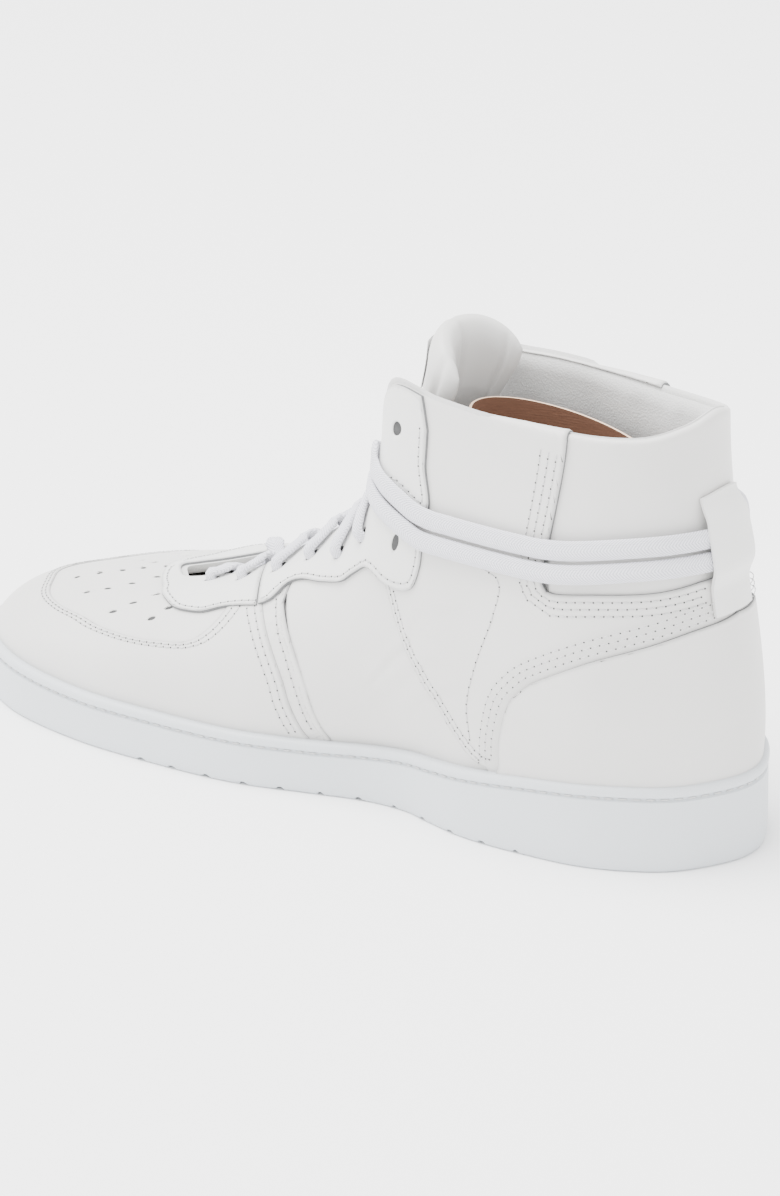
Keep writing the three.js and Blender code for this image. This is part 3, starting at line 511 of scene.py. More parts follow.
def flat_from(values, wanted):
    """The flat place of the surface point whose measures come nearest to the wanted ones."""
    nearest = np.argmin(sum((value - target) ** 2 for value, target in zip(values, wanted)))
    return Vector((chart_around[nearest] * FLAT.x, chart_rise[nearest] * FLAT.y))


def side_place(point):
    return flat_from((chart_from_heel, chart[:, 2]), point)


def top_place(point):
    above = np.where(chart_rise < 0.2, 1e3, 0.0)
    return flat_from((chart_from_heel, chart[:, 1] + above), point)


def place_of(point):
    return flat_from((chart_from_heel, chart[:, 1], chart[:, 2]), point)


def flowing(points, step=1.5):
    """A smooth curve through flat points, with a point about every step."""
    points = [Vector(point) for point in points]
    padded = [2 * points[0] - points[1], *points, 2 * points[-1] - points[-2]]
    curve = []
    for a, b, c, d in zip(padded, padded[1:], padded[2:], padded[3:]):
        count = max(1, round((c - b).length / step))
        for index in range(count):
            s = index / count
            curve.append(
                0.5 * (
                    2 * b + (c - a) * s + (2 * a - 5 * b + 4 * c - d) * s * s + (3 * b - a - 3 * c + d) * s**3
                )
            )
    return curve + [points[-1]]


def straight(start, end, step=1.5):
    return flowing([start, end], step)


def outline_of(*stretches):
    """Joins stretches into one closed outline, with no two points in the same place."""
    joined = []
    for stretch in stretches:
        for point in stretch:
            if not joined or (point - joined[-1]).length > 0.2:
                joined.append(point)
    return joined[:-1] if (joined[0] - joined[-1]).length < 0.2 else joined


def other_side(stretch):
    return [Vector((FLAT.x - point.x, point.y)) for point in reversed(stretch)]


def before_toe(stretch):
    return [Vector((-point.x, point.y)) for point in reversed(stretch)]


def flat_to_upper(distance):
    return lambda flat: upper(flat[:, 0] / FLAT.x, flat[:, 1] / FLAT.y, distance + flat[:, 2])


def nearest_edge(points, outline):
    """Distance of each flat point to an outline, in millimetres."""
    start = np.array([point[:2] for point in outline])
    run = np.roll(start, -1, axis=0) - start
    apart = points[:, None, :] - start[None]
    share = np.clip((apart * run).sum(2) / np.maximum((run**2).sum(1), 1e-9), 0, 1)
    return np.linalg.norm(apart - share[:, :, None] * run, axis=2).min(1)


def leather(name, colour, cut_edge=False):
    recipe = Recipe(name, Roughness=0.42, IOR=1.48)
    where = recipe.place()
    warp = recipe.noise(60.0, 2.0, where)
    pebble = recipe.node("TexVoronoi", {"feature": "SMOOTH_F1"}, {"Vector": where, "Scale": 1150.0},
        "Distance")
    grain = pebble * 0.45 + recipe.noise(1500.0, 3.0, where) * 0.4 + warp * 0.5
    soft_dents = recipe.noise(38.0, 3.0, where)
    paler = tuple(min(1.0, channel * 1.03) for channel in colour)
    darker = tuple(channel * 0.955 for channel in colour)
    shade = recipe.mix(recipe.between(recipe.noise(14.0, 4.0, where), 0.35, 0.7), paler, darker)
    if cut_edge:
        raw = recipe.mix(recipe.noise(900.0, 3.0, where), (0.10, 0.105, 0.11), (0.20, 0.20, 0.20))
        return recipe.give(Base_Color=raw, Roughness=recipe.noise(300.0, 2.0, where) * 0.2 + 0.7)
    near_edge = recipe.painted("seam")
    # Painted shade: the grain is mixed toward grey within about a millimetre of each panel's cut edge, where
    # the panels lap.
    shade = recipe.mix(recipe.between(near_edge, 1.2, 0.0) * 0.45, shade, (0.25, 0.25, 0.25))
    channel = recipe.between(near_edge, 0.9, 1.8) * recipe.between(near_edge, 2.8, 1.9)
    height = grain * 0.10 + soft_dents * 0.9 - channel * 0.35
    gloss = recipe.noise(55.0, 3.0, where) * 0.16 + 0.36
    return recipe.give(Base_Color=shade, Roughness=gloss, Normal=recipe.bump(height, 0.00028, 0.55))


LEATHER_WHITE = leather("white_leather", (0.63, 0.622, 0.605))
LEATHER_TRIM = leather("white_trim_leather", (0.69, 0.688, 0.672))
LEATHER_EDGE = leather("cut_leather_edge", (0.5, 0.5, 0.5), cut_edge=True)


def creased(flat):
    """Small folds where the ankle bends, as heights in millimetres over the flat upper."""
    folds = np.zeros(len(flat))
    for around, rise, length, turn, depth in (
        (0.262, 0.33, 17, 0.5, 0.35), (0.275, 0.27, 21, 0.42, 0.42), (0.29, 0.40, 14, 0.6, 0.3),
        (0.305, 0.22, 16, 0.3, 0.3), (0.248, 0.21, 15, 0.7, 0.3), (0.33, 0.46, 20, 0.2, 0.26),
    ):
        for mirror in (False, True):
            middle = (FLAT.x * (1 - around) if mirror else FLAT.x * around, FLAT.y * rise)
            slope = math.pi - turn if mirror else turn
            dx, dy = flat[:, 0] - middle[0], flat[:, 1] - middle[1]
            along = dx * math.cos(slope) + dy * math.sin(slope)
            across = -dx * math.sin(slope) + dy * math.cos(slope) + 0.012 * along**2
            folds -= depth * np.exp(-((along / length) ** 2) - (across / 1.5) ** 2)
            folds += 0.5 * depth * np.exp(-((along / length) ** 2) - ((across - 3.0) / 2.2) ** 2)
    return folds


def wall_of(maker):
    """Closes every cut edge of a panel, its rim and each hole, between its face and its underside."""
    walls = []
    loose = {edge for edge in maker.edges if edge.is_boundary}
    uppers = {}
    for edge in loose:
        key = tuple(sorted((round(vertex.co.x, 4), round(vertex.co.y, 4)) for vertex in edge.verts))
        uppers.setdefault(key, []).append(edge)
    for first, second in [pair for pair in uppers.values() if len(pair) == 2]:
        walls += bmesh.ops.bridge_loops(maker, edges=[first, second])["faces"]
    return walls


def leather_panel(name, outline, layer, nodes, holes=(), finish=None, slot="leather_white", drape=LEATHER):
    """One cut panel: an outline on the flat upper, its layer, and the round holes punched through it."""
    maker = bmesh.new()
    outline = [Vector((point.x, -SUNK if point.y < 0.5 else point.y)) for point in outline]
    edge = [maker.verts.new((point.x, point.y, 0.0)) for point in outline]
    loops = [list(zip(edge, edge[1:] + edge[:1]))]
    for hole in holes:
        ring = [maker.verts.new((point.x, point.y, 0.0)) for point in ring_outline(*hole)]
        loops.append(list(zip(ring, ring[1:] + ring[:1])))
    rims = [maker.edges.new(pair) for loop in loops for pair in loop]
    bmesh.ops.triangle_fill(maker, edges=rims, use_beauty=True, normal=(0, 0, 1))
    box_low = [min(point[axis] for point in outline) for axis in (0, 1)]
    box_high = [max(point[axis] for point in outline) for axis in (0, 1)]
    for axis, normal in ((0, (1, 0, 0)), (1, (0, 1, 0))):
        for line in np.arange(math.ceil(box_low[axis] / WEAVE) * WEAVE + 0.011, box_high[axis], WEAVE):
            geometry = maker.verts[:] + maker.edges[:] + maker.faces[:]
            place = (line, 0, 0) if axis == 0 else (0, line, 0)
            bmesh.ops.bisect_plane(maker, geom=geometry, plane_co=place, plane_no=normal, dist=0.02)
    bmesh.ops.dissolve_degenerate(maker, dist=0.03, edges=maker.edges)
    for face in maker.faces:
        if face.normal.z < 0:
            face.normal_flip()
    bmesh.ops.inset_region(maker, faces=maker.faces, thickness=EDGE_ROUND, use_even_offset=False,
        use_boundary=True)
    for vertex in maker.verts:
        if vertex.is_boundary:
            vertex.co.z -= EDGE_ROUND * 0.8
    front = maker.faces[:]
    under = bmesh.ops.duplicate(maker, geom=front)["geom"]
    for part in under:
        if isinstance(part, bmesh.types.BMVert):
            part.co.z = -drape
    bmesh.ops.reverse_faces(maker, faces=[part for part in under if isinstance(part, bmesh.types.BMFace)])
    for face in wall_of(maker):
        face.material_index = 1
    flat = np.array([vertex.co for vertex in maker.verts])
    to_edge = nearest_edge(flat[:, :2], outline)
    seam = maker.verts.layers.float.new("seam")
    flat[:, 2] += creased(flat) * (flat[:, 2] > -EDGE_ROUND) * smooth(0.5, 5.0, to_edge)
    for vertex, distance, point in zip(maker.verts, to_edge, flat):
        vertex[seam] = distance
        vertex.co.z = point[2]
    mapped(maker, flat_to_upper(LAYER_RISE * (layer - 2) - LAYER_SINK))
    smooth_faces(maker, 0.9)
    finishes = [finish or LEATHER_WHITE, LEATHER_EDGE]
    return piece_from(maker, name + "_leather", finishes, "shoe", nodes)


def ring_outline(middle, radius, count=20):
    """A round hole on the surface, corrected for how much the flat upper is stretched there."""
    around, rise = middle[0] / FLAT.x, middle[1] / FLAT.y
    wide = np.linalg.norm(skin(around + 0.004, rise) - skin(around - 0.004, rise)) / (0.008 * FLAT.x)
    tall = np.linalg.norm(skin(around, rise + 0.01) - skin(around, rise - 0.01)) / (0.02 * FLAT.y)
    turns = [2 * math.pi * index / count for index in range(count)]
    return [Vector((middle[0] + radius / wide * math.cos(a), middle[1] + radius / tall * math.sin(a)))
        for a in turns]


RIM_STEPS = 2000
MIDLINE = 4.0
top_line = skin(np.linspace(0, 0.5, RIM_STEPS + 1), 1.0)


def rim_place(from_heel, height):
    """The flat place on the top edge, throat or collar, nearest to a height and a place along the shoe."""
    nearest = np.argmin((150.0 - top_line[:, 0] - from_heel) ** 2 + (top_line[:, 2] - height) ** 2)
    return Vector((nearest / (2 * RIM_STEPS) * FLAT.x, FLAT.y))


HEEL_X = FLAT.x / 2
ROLLED = 108.0
mudguard_edge = flowing([side_place(point) for point in MUDGUARD_EDGE[1:]])
mudguard_edge = [rim_place(170, 70), *mudguard_edge]
strip_edge = [rim_place(162, 74), *flowing([side_place(point) for point in STRIP_EDGE[1:]])]
quarter_edge = flowing([side_place(point) for point in QUARTER_SEAM])
counter_edge = flowing([side_place(point) for point in COUNTER_EDGE])
window_edge = flowing([side_place(point) for point in COLLAR_WINDOW])
toe_half = [top_place(point) for point in TOE_WINDOW[1:]]
toe_front = Vector((0.0, top_place((277, 2)).y))
toe_window = flowing([*before_toe(toe_half), toe_front, *toe_half])
tip_half = [top_place(point) for point in EYESTAY_TIP[1:]]
tip_front = Vector((0.0, top_place((229, 1)).y))
tip_edge = flowing([*before_toe(tip_half), tip_front, *tip_half])
reinforcement_edge = flowing([side_place(point) for point in REINFORCEMENT])
eyestay_edge = flowing([side_place(point) for point in EYESTAY_REAR])
facing_edge = flowing([side_place(point) for point in FACING_EDGE[:-1]])
junction = rim_place(178, 60)
collar_start = rim_place(131, 97)
eyelet_places = [place_of(point) for point in EYELETS]
vent_places = [top_place(point) for point in VENTS]


def slid(edge, along):
    """The same edge, further back on the shoe, where it lies hidden under the next panel."""
    return [Vector((point.x + along, point.y)) for point in edge]


def in_pair(name, outline, layer, **options):
    """An outer panel and its mirror image on the inner side."""
    leather_panel(name + "_outer", outline, layer, [name + "_outer"], **options)
    mirrored = dict(options)
    mirrored["holes"] = [(Vector((FLAT.x - m.x, m.y)), r) for m, r in options.get("holes", ())]
    leather_panel(name + "_inner", other_side(outline), layer, [name + "_inner"], **mirrored)


def both_ways(hole_list):
    return [spot for m, r in hole_list for spot in ((m, r), (Vector((-m.x, m.y)), r))
        if m.x > MIDLINE or spot[0] is m]


vamp_edge = slid(mudguard_edge, 6.0)
vamp_outline = outline_of(
    vamp_edge, straight(vamp_edge[-1], before_toe(vamp_edge)[0]), before_toe(vamp_edge),
    straight(before_toe(vamp_edge)[-1], vamp_edge[0]),
)
leather_panel(
    "vamp_panel", vamp_outline, LOW_LAYER, ["vamp_panel"], drape=LEATHER,
    holes=both_ways([(place, 1.1) for place in vent_places]),
)
mudguard_outline = outline_of(
    mudguard_edge, straight(mudguard_edge[-1], before_toe(mudguard_edge)[0]), before_toe(mudguard_edge),
    straight(before_toe(mudguard_edge)[-1], Vector((toe_window[0].x, 100.0))),
    straight(Vector((toe_window[0].x, 100.0)), toe_window[0]), toe_window,
    straight(toe_window[-1], Vector((toe_window[-1].x, 100.0))),
    straight(Vector((toe_window[-1].x, 100.0)), mudguard_edge[0]),
)
leather_panel("toe_mudguard", mudguard_outline, 2, ["toe_mudguard"], drape=1.3)
hidden_start = slid(mudguard_edge, -9.0)
in_pair("side_strip", outline_of(
    straight(hidden_start[0], strip_edge[0]), strip_edge, straight(strip_edge[-1], hidden_start[-1]),
    list(reversed(hidden_start)),
), LOW_LAYER)
panel_back = slid(quarter_edge, 12.0)
in_pair("side_panel", outline_of(
    straight(slid(strip_edge, 1.0)[0], collar_start), straight(collar_start, panel_back[0]), panel_back,
    straight(panel_back[-1], slid(strip_edge, 1.0)[-1]), list(reversed(slid(strip_edge, 1.0))),
), LOW_LAYER)
window_top = Vector((window_edge[0].x, ROLLED))
in_pair("quarter", outline_of(
    straight(quarter_edge[0], collar_start), straight(collar_start, Vector((collar_start.x + 3, ROLLED))),
    straight(Vector((collar_start.x + 3, ROLLED)), window_top), straight(window_top, window_edge[0]),
    window_edge,
    straight(window_edge[-1], Vector((HEEL_X, window_edge[-1].y))),
    straight(Vector((HEEL_X, window_edge[-1].y)), Vector((HEEL_X, 0.0))),
    straight(Vector((HEEL_X, 0.0)), quarter_edge[-1]), list(reversed(quarter_edge)),
), 2, drape=1.3)
rear_low = window_edge[-1].y - 8.0
rear_half = [Vector((window_edge[0].x - 7.0, ROLLED)), Vector((window_edge[0].x - 7.0, rear_low))]
leather_panel("rear_collar_panel", outline_of(
    straight(*rear_half), straight(rear_half[1], Vector((FLAT.x - rear_half[1].x, rear_low))),
    straight(*reversed([Vector((FLAT.x - point.x, point.y)) for point in rear_half])),
    straight(Vector((FLAT.x - rear_half[0].x, ROLLED)), rear_half[0]),
), 1, ["rear_collar_panel"])
leather_panel("heel_overlay", outline_of(
    counter_edge, straight(counter_edge[-1], other_side(counter_edge)[0]), other_side(counter_edge),
    straight(other_side(counter_edge)[-1], counter_edge[0]),
), 3, ["heel_overlay"], drape=1.3)
tip_end = tip_edge[-1]
leather_panel("eyestay_front", outline_of(
    tip_edge, straight(tip_end, junction), straight(junction, before_toe([junction])[0]),
    straight(before_toe([junction])[0], tip_edge[0]),
), TRIM_LAYER, ["eyestay_front"], drape=1.7, finish=LEATHER_TRIM, slot="leather_trim",
    holes=both_ways([(place, 2.2) for place in eyelet_places[:2]]))
in_pair("eyestay_rear", outline_of(
    straight(junction, eyestay_edge[0]), eyestay_edge, straight(eyestay_edge[-1], rim_place(130, 103)),
    straight(rim_place(130, 103), junction),
), TRIM_LAYER, drape=1.7, finish=LEATHER_TRIM, slot="leather_trim",
holes=[(place, 2.2) for place in eyelet_places[2:7]])
in_pair("ankle_facing", outline_of(
    straight(rim_place(129, 106), facing_edge[0]), facing_edge,
    straight(facing_edge[-1], Vector((facing_edge[-1].x, 100.0))),
    straight(Vector((facing_edge[-1].x, 100.0)), rim_place(129, 106)),
), 3, drape=1.3, finish=LEATHER_TRIM, slot="leather_trim", holes=[(eyelet_places[7], 2.2)])


def hole_finish():
    recipe = Recipe("hole_shade", Roughness=0.95)
    return recipe.give(Base_Color=recipe.mix(recipe.noise(400.0), (0.035, 0.035, 0.037), (0.08, 0.08, 0.08)))


HOLE_SHADE = hole_finish()
shades = bmesh.new()
for place, radius, distance in [
    *[(place, 2.25, 0.6) for place in eyelet_places], *[(place, 1.15, -0.9) for place in vent_places],
]:
    for across in (place.x, -place.x):
        outline = ring_outline(Vector((across, place.y)), radius)
        ring = [shades.verts.new((point.x, point.y, distance)) for point in outline]
        disc = shades.faces.new(ring)
        made = bmesh.ops.extrude_face_region(shades, geom=[disc], use_keep_orig=True)["geom"]
        for part in made:
            if isinstance(part, bmesh.types.BMVert):
                part.co.z -= 0.2
bmesh.ops.recalc_face_normals(shades, faces=shades.faces)
mapped(shades, flat_to_upper(0.0))
piece_from(shades, "hole_shades", [HOLE_SHADE], "shoe")

# ---- The stitching ----
# Bonded white thread, lock-stitched in rows along the cut edges, with a dark dot between stitches, painted as
# the shade in its needle hole.
# Rows follow the panel edges at set distances, and a heavier thread holds the sole in its channel.
STITCH = 2.1
STITCH_PITCH = 3.0
ROW_GAP = 1.9
NEEDLE_SHADE_DOT = (0.36, 0.33, 0.07, 1.0)
THREAD_PROUD = 0.02


def thread_finish():
    recipe = Recipe("bonded_thread", Roughness=0.6)
    shade = recipe.mix(recipe.noise(700.0), (0.64, 0.64, 0.635), (0.5, 0.5, 0.5))
    return recipe.give(Base_Color=shade, Normal=recipe.bump(recipe.noise(1800.0), 0.00015, 0.6))


# Painted shade: a near-black finish that stands in for the shade inside a needle hole.
def needle_shade_finish():
    recipe = Recipe("needle_hole_shade", Roughness=0.9)
    return recipe.give(Base_Color=recipe.mix(recipe.noise(500.0), (0.03, 0.03, 0.032), (0.07, 0.07, 0.07)))


THREAD_WHITE = thread_finish()
NEEDLE_SHADE = needle_shade_finish()


def sew(maker, points, normals, pitch, length, thick, holes=True):
    """Lays stitches along a path of points, each sunk a little, with a dark dot after it, painted as the
    shade in its needle hole.
    """
    points, normals = np.asarray(points), np.asarray(normals)
    travelled = np.concatenate([[0.0], np.cumsum(np.linalg.norm(np.diff(points, axis=0), axis=1))])
    for place in np.arange(pitch / 2, travelled[-1], pitch):
        at, ahead, normal = [
            Vector([np.interp(place + shift, travelled, values[:, axis]) for axis in range(3)])
            for shift, values in ((0.0, points), (0.3, points), (0.0, normals))
        ]
        along = (ahead - at).normalized()
        normal = (normal - along * normal.dot(along)).normalized()
        turn = Matrix((along, normal.cross(along), normal)).transposed().to_4x4()
        shape = Matrix.Diagonal((length / 2, thick / 2, thick * 0.36, 1.0))
        bmesh.ops.create_icosphere(maker, subdivisions=1, radius=1.0,
            matrix=Matrix.Translation(at) @ turn @ shape)
        # Each dark dot is painted shade, standing for the needle hole between stitches.
        if holes:
            middle = Matrix.Translation(at + along * pitch / 2 + normal * 0.03)
            gap = middle @ turn @ Matrix.Diagonal(NEEDLE_SHADE_DOT)
            made = bmesh.ops.create_icosphere(maker, subdivisions=1, radius=1.0, matrix=gap)["verts"]
            for face in {face for vertex in made for face in vertex.link_faces}:
                face.material_index = 1


def sewn_row(maker, edge, inset, layer, side=1):
    """One row at a distance inside an edge. A positive side lies to the left of the edge's direction."""
    path = []
    for before, after in zip(edge, edge[1:]):
        run = (after - before).normalized()
        path.append((before + after) / 2 + Vector((-run.y, run.x)) * inset * side)
    around = np.array([point.x for point in path]) / FLAT.x
    height = np.array([point.y for point in path]) / FLAT.y
    keep = (height > 0.03) & (height < 0.97)
    if keep.sum() < 3:
        return
    around, height = around[keep], height[keep]
    sew(maker, upper(around, height, LAYER_RISE * (layer - 2) + THREAD_PROUD), outward(around, height),
        STITCH_PITCH,
        STITCH, 0.5)


threads = bmesh.new()
for mirror in (False, True):
    turned = (lambda edge: other_side(edge)) if mirror else (lambda edge: edge)
    toe_turned = (lambda edge: before_toe(edge)) if mirror else (lambda edge: edge)
    for row in (1, 2, 3):
        sewn_row(threads, turned(counter_edge), ROW_GAP * row, 3)
        sewn_row(threads, turned(window_edge), ROW_GAP * row, 2, -1)
    for row in (1, 2):
        sewn_row(threads, toe_turned(mudguard_edge), ROW_GAP * row, 2, -1)
        sewn_row(threads, turned(quarter_edge), ROW_GAP * row, 2)
    sewn_row(threads, turned(eyestay_edge), ROW_GAP, TRIM_LAYER)
    sewn_row(threads, turned(facing_edge), ROW_GAP, 3)
    sewn_row(threads, turned(reinforcement_edge), 0.0, 2)
    sewn_row(threads, turned(strip_edge), ROW_GAP, LOW_LAYER, -1)
for row in (1, 2):
    sewn_row(threads, toe_window, ROW_GAP * row, 2, -1)
sewn_row(threads, tip_edge, ROW_GAP, TRIM_LAYER, 1)
smooth_faces(threads, 3.0)
piece_from(threads, "upper_stitching", [THREAD_WHITE, NEEDLE_SHADE], "shoe")

welt = bmesh.new()
ring = np.linspace(0, 1, 900)
channel = foot_line(ring, 1.95)
channel[:, 2] = sole_top(150.0 - channel[:, 0]) - CHANNEL_DROP
sew(welt, channel, outward(ring, np.zeros(len(ring))) * [1, 1, 0], 4.4, 3.5, 0.8, holes=False)
smooth_faces(welt, 3.0)
piece_from(welt, "sole_thread", [THREAD_WHITE], "shoe", ["sole_stitching"])

# ---- The padded collar and the lining ----
# Soft white textile over foam, turned out over the top edge and sewn under the leather. It wrinkles
# inside the ankle, where the foam is thickest, and runs thin into the toe.
LINING_STEPS = 260
ROLL_TURNS = [1.055, 1.065, 1.075, 1.085, 1.095, 1.1]
LINING_RISES = [0.985, 0.96, 0.93, 0.9, 0.87, 0.84, 0.81, 0.78, 0.75, 0.7, 0.64, 0.58, 0.5, 0.4, 0.3,
    0.2, 0.1, 0.03]
LINING_ROWS = ROLL_TURNS + LINING_RISES
BULGE = [[0.6, 0], [0.7, 0.5], [0.8, 1], [0.9, 1], [1, 0.6]]


def textile(name, colour, wear):
    recipe = Recipe(name, Roughness=0.85, Sheen_Weight=0.15)
    where = recipe.place()
    knit = recipe.node("TexVoronoi", {}, {"Vector": where, "Scale": 1500.0}, "Distance")
    height = knit * 0.5 + recipe.noise(120.0, 3.0, where) * 0.9
    shade = recipe.mix(recipe.noise(28.0, 4.0, where), colour, tuple(channel * wear for channel in colour))
    return recipe.give(Base_Color=shade, Normal=recipe.bump(height, 0.00035, 0.6))


LINING_WHITE = textile("lining_textile", (0.62, 0.617, 0.605), 0.93)


def lining_place(flat):
    around = flat[:, 0] / LINING_STEPS
    row = np.rint(flat[:, 1]).astype(int)
    rise = np.array(LINING_ROWS)[row]
    fill = ramp(np.abs(around - 0.5), COLLAR_FILL)
    wrinkle = 0.55 * np.sin(around * 330 + 9 * rise) * np.sin(around * 131 + 2.0) * smooth(0.55, 0.75,
        rise) * fill
    inside = -2.7 - 5.5 * ramp(rise, BULGE) * fill - wrinkle * (rise < 0.985)
    return upper(around, rise, np.where(rise > 1.0, -1.75, inside))


lining = bmesh.new()
bmesh.ops.create_grid(lining, x_segments=LINING_STEPS, y_segments=len(LINING_ROWS) - 1, size=0.5)
for vertex in lining.verts:
    vertex.co.x = (vertex.co.x + 0.5) * LINING_STEPS
    vertex.co.y = (vertex.co.y + 0.5) * (len(LINING_ROWS) - 1)
mapped(lining, lining_place)
bmesh.ops.remove_doubles(lining, verts=lining.verts, dist=0.001)
inward = sum(face.normal.dot(Vector((0, 0, 1))) * face.calc_area() for face in lining.faces)
if inward < 0:
    bmesh.ops.reverse_faces(lining, faces=lining.faces)
bmesh.ops.solidify(lining, geom=lining.faces, thickness=0.8)
bmesh.ops.recalc_face_normals(lining, faces=lining.faces)
smooth_faces(lining, 1.2)
collar = piece_from(
    lining, "padded_lining", [LINING_WHITE], "shoe",
    ["quarter_lining", "vamp_lining", "collar_padding"],
)

# ---- The tongue ----
# Leather over foam: thin under the laces, and a thick padded top with a seam down its middle.
# It is sewn down at the toe and its free top folds a little towards the laces.
TONGUE_LEAN = 4.5
TONGUE = np.array([
    [232, 41, 17, 5], [216, 45, 16, 8], [200, 50, 16, 14], [184, 56.5, 16, 15], [162, 69, 16, 15],
    [147, 80, 16.5, 15], [134, 93, 17, 15], [126, 110, 18.5, 15], [122, 128, 20.5, 15],
    [118.5, 144, 22, 20], [117, 157, 22, 20],
])
TONGUE_HINGE = 0.7
TONGUE_SWEEP = math.pi * 0.48
PADDING = [[0, 2.4], [0.62, 2.6], [0.76, 7.0], [0.84, 8.6], [1, 8.6]]


def tongue_row(along):
    place = np.clip(np.asarray(along, float), 0, 1) * (len(TONGUE) - 1)
    step = np.minimum(place.astype(int), len(TONGUE) - 2)
    share = (place - step)[:, None]
    padded = np.vstack([2 * TONGUE[0] - TONGUE[1], TONGUE, 2 * TONGUE[-1] - TONGUE[-2]])
    before, start, end, after = [padded[step + shift] for shift in range(4)]
    curved = 0.5 * (
        2 * start + (end - before) * share + (2 * before - 5 * start + 4 * end - after) * share**2
        + (3 * start - before - 3 * end + after) * share**3
    )
    return curved


def tongue_middle(along):
    row = tongue_row(np.atleast_1d(along))
    return np.column_stack([150.0 - row[:, 0], np.zeros(len(row)), row[:, 1]])


def tongue_tangent(along):
    along = np.atleast_1d(along)
    return unit(tongue_middle(np.minimum(along + 0.003, 1)) - tongue_middle(np.maximum(along - 0.003, 0)))


def tongue(across, along, depth):
    across, along, depth = np.broadcast_arrays(*[np.atleast_1d(np.asarray(v, float)) for v in (across,
        along, depth)])
    row, middle, tangent = tongue_row(along), tongue_middle(along), tongue_tangent(along)
    front = np.column_stack([-tangent[:, 2], np.zeros(len(row)), tangent[:, 0]])
    angle = across * TONGUE_SWEEP
    behind = row[:, 3] * (1 - np.cos(angle)) + depth * np.cos(angle)
    points = middle - front * behind[:, None]
    points[:, 1] += (row[:, 2] - depth) * np.sin(angle) - TONGUE_LEAN * (1 - smooth(60, 200, row[:, 0]))
    return points


def tongue_side(sign):
    """Maps a flat sheet to the front or the back of the tongue. The two meet round the edge."""
    def place(flat):
        across = np.sin(flat[:, 0] * math.pi / 2)
        along = flat[:, 1]
        edge = np.sqrt(np.clip(1 - np.abs(across) ** 6, 0, 1))
        top = np.sqrt(np.clip(1 - np.clip((along - 0.93) / 0.07, 0, 1) ** 2, 0, 1))
        thick = ramp(along, PADDING)
        swell = smooth(0.72, 0.8, along)
        seams = np.exp(-((across / 0.05) ** 2)) + np.exp(-(((np.abs(across) - 0.78) / 0.05) ** 2))
        groove = 1.1 * swell * seams * edge * top
        arch = along - 0.085 * np.abs(across) ** 2.4 * smooth(0.7, 1, along)
        depth = thick / 2 - sign * (thick / 2 * edge * top - groove)
        return tongue(across, arch, depth)
    return place


pad = bmesh.new()
for sign in (1, -1):
    sheet = bmesh.new()
    bmesh.ops.create_grid(sheet, x_segments=72, y_segments=150, size=1.0)
    for vertex in sheet.verts:
        vertex.co.y = (vertex.co.y + 1) / 2
    mapped(sheet, tongue_side(sign))
    half = bpy.data.meshes.new("tongue_half")
    sheet.to_mesh(half)
    sheet.free()
    pad.from_mesh(half)
    bpy.data.meshes.remove(half)
bmesh.ops.remove_doubles(pad, verts=pad.verts, dist=0.004)
rims = [edge for edge in pad.edges if edge.is_boundary]
if rims:
    bmesh.ops.holes_fill(pad, edges=rims, sides=0)
bmesh.ops.recalc_face_normals(pad, faces=pad.faces)
pad.verts.layers.float.new("seam")
for vertex in pad.verts:
    vertex[pad.verts.layers.float["seam"]] = 99.0
smooth_faces(pad, 1.2)
tongue_data = bpy.data.meshes.new("padded_tongue")
pad.to_mesh(tongue_data)
pad.free()
tongue_data.transform(Matrix.Scale(MM, 4))
tongue_data.materials.append(LEATHER_WHITE)
tongue_piece = bpy.data.objects.new("padded_tongue", tongue_data)
bpy.context.collection.objects.link(tongue_piece)
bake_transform(tongue_piece, "shoe", "tongue_top", (0.0235, -0.0025, 0.104), (0.026, -0.0025, 0.114))
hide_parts("tongue_lower", "tongue_face", "tongue_foam", "tongue_lining")

keeper = bmesh.new()
bmesh.ops.create_grid(keeper, x_segments=24, y_segments=14, size=1.0)
mapped(keeper, lambda flat: tongue(0.3 * flat[:, 0], 0.895 + 0.055 * flat[:, 1], -0.9 + 0 * flat[:, 0]))
bmesh.ops.solidify(keeper, geom=keeper.faces, thickness=0.7)
bmesh.ops.recalc_face_normals(keeper, faces=keeper.faces)
smooth_faces(keeper)
piece_from(keeper, "lace_keeper", [textile("keeper_webbing", (0.80, 0.80, 0.80), 0.95)],
           "tongue_top", ["tongue_label"])

# ---- The laces ----
# One flat woven lace: a bar at the toe, crossed strands up the throat, then twice round the
# ankle through the heel loop, with its ends tucked in on the tongue.
LACE_WIDTH = 6.4
LACE_THICK = 2.3
LACE_SIDES = 16
LACE_ROOM = 1.05
UNDER = -4.75
OVER = 2.65
LACE_LIFT = 2.16
EDGE_REACH = 2.0
TONGUE_FOLD = math.radians(5)
TONGUE_LENGTH = float(np.linalg.norm(np.diff(tongue_middle(np.linspace(0, 1, 200)), axis=0), axis=1).sum())
lace_holes = [(place.x / FLAT.x, place.y / FLAT.y) for place in eyelet_places]


def bisect(before, low, high):
    for _ in range(24):
        middle = (low + high) / 2
        low, high = (middle, high) if before(middle) else (low, middle)
    return low


def on_side(side, around):
    return around if side < 0 else 1 - around


def on_upper(side, around, rise, distance, width=LACE_WIDTH):
    """A station of the lace: its middle, the way its width lies, and its width."""
    at, top = on_side(side, around), min(1.0, rise)
    wide = skin(on_side(side, around + 0.004), top) - skin(on_side(side, around - 0.004), top)
    point = upper(at, top, distance)
    if rise > 1:
        point = point + unit(skin(at, 1.0) - skin(at, 0.99)) * (rise - 1) * EDGE_REACH
    return point[0], unit(wide)[0], width


def fold_room(along):
    return math.tan(TONGUE_FOLD) * max(0.0, (along - TONGUE_HINGE) * TONGUE_LENGTH + LACE_WIDTH / 2)


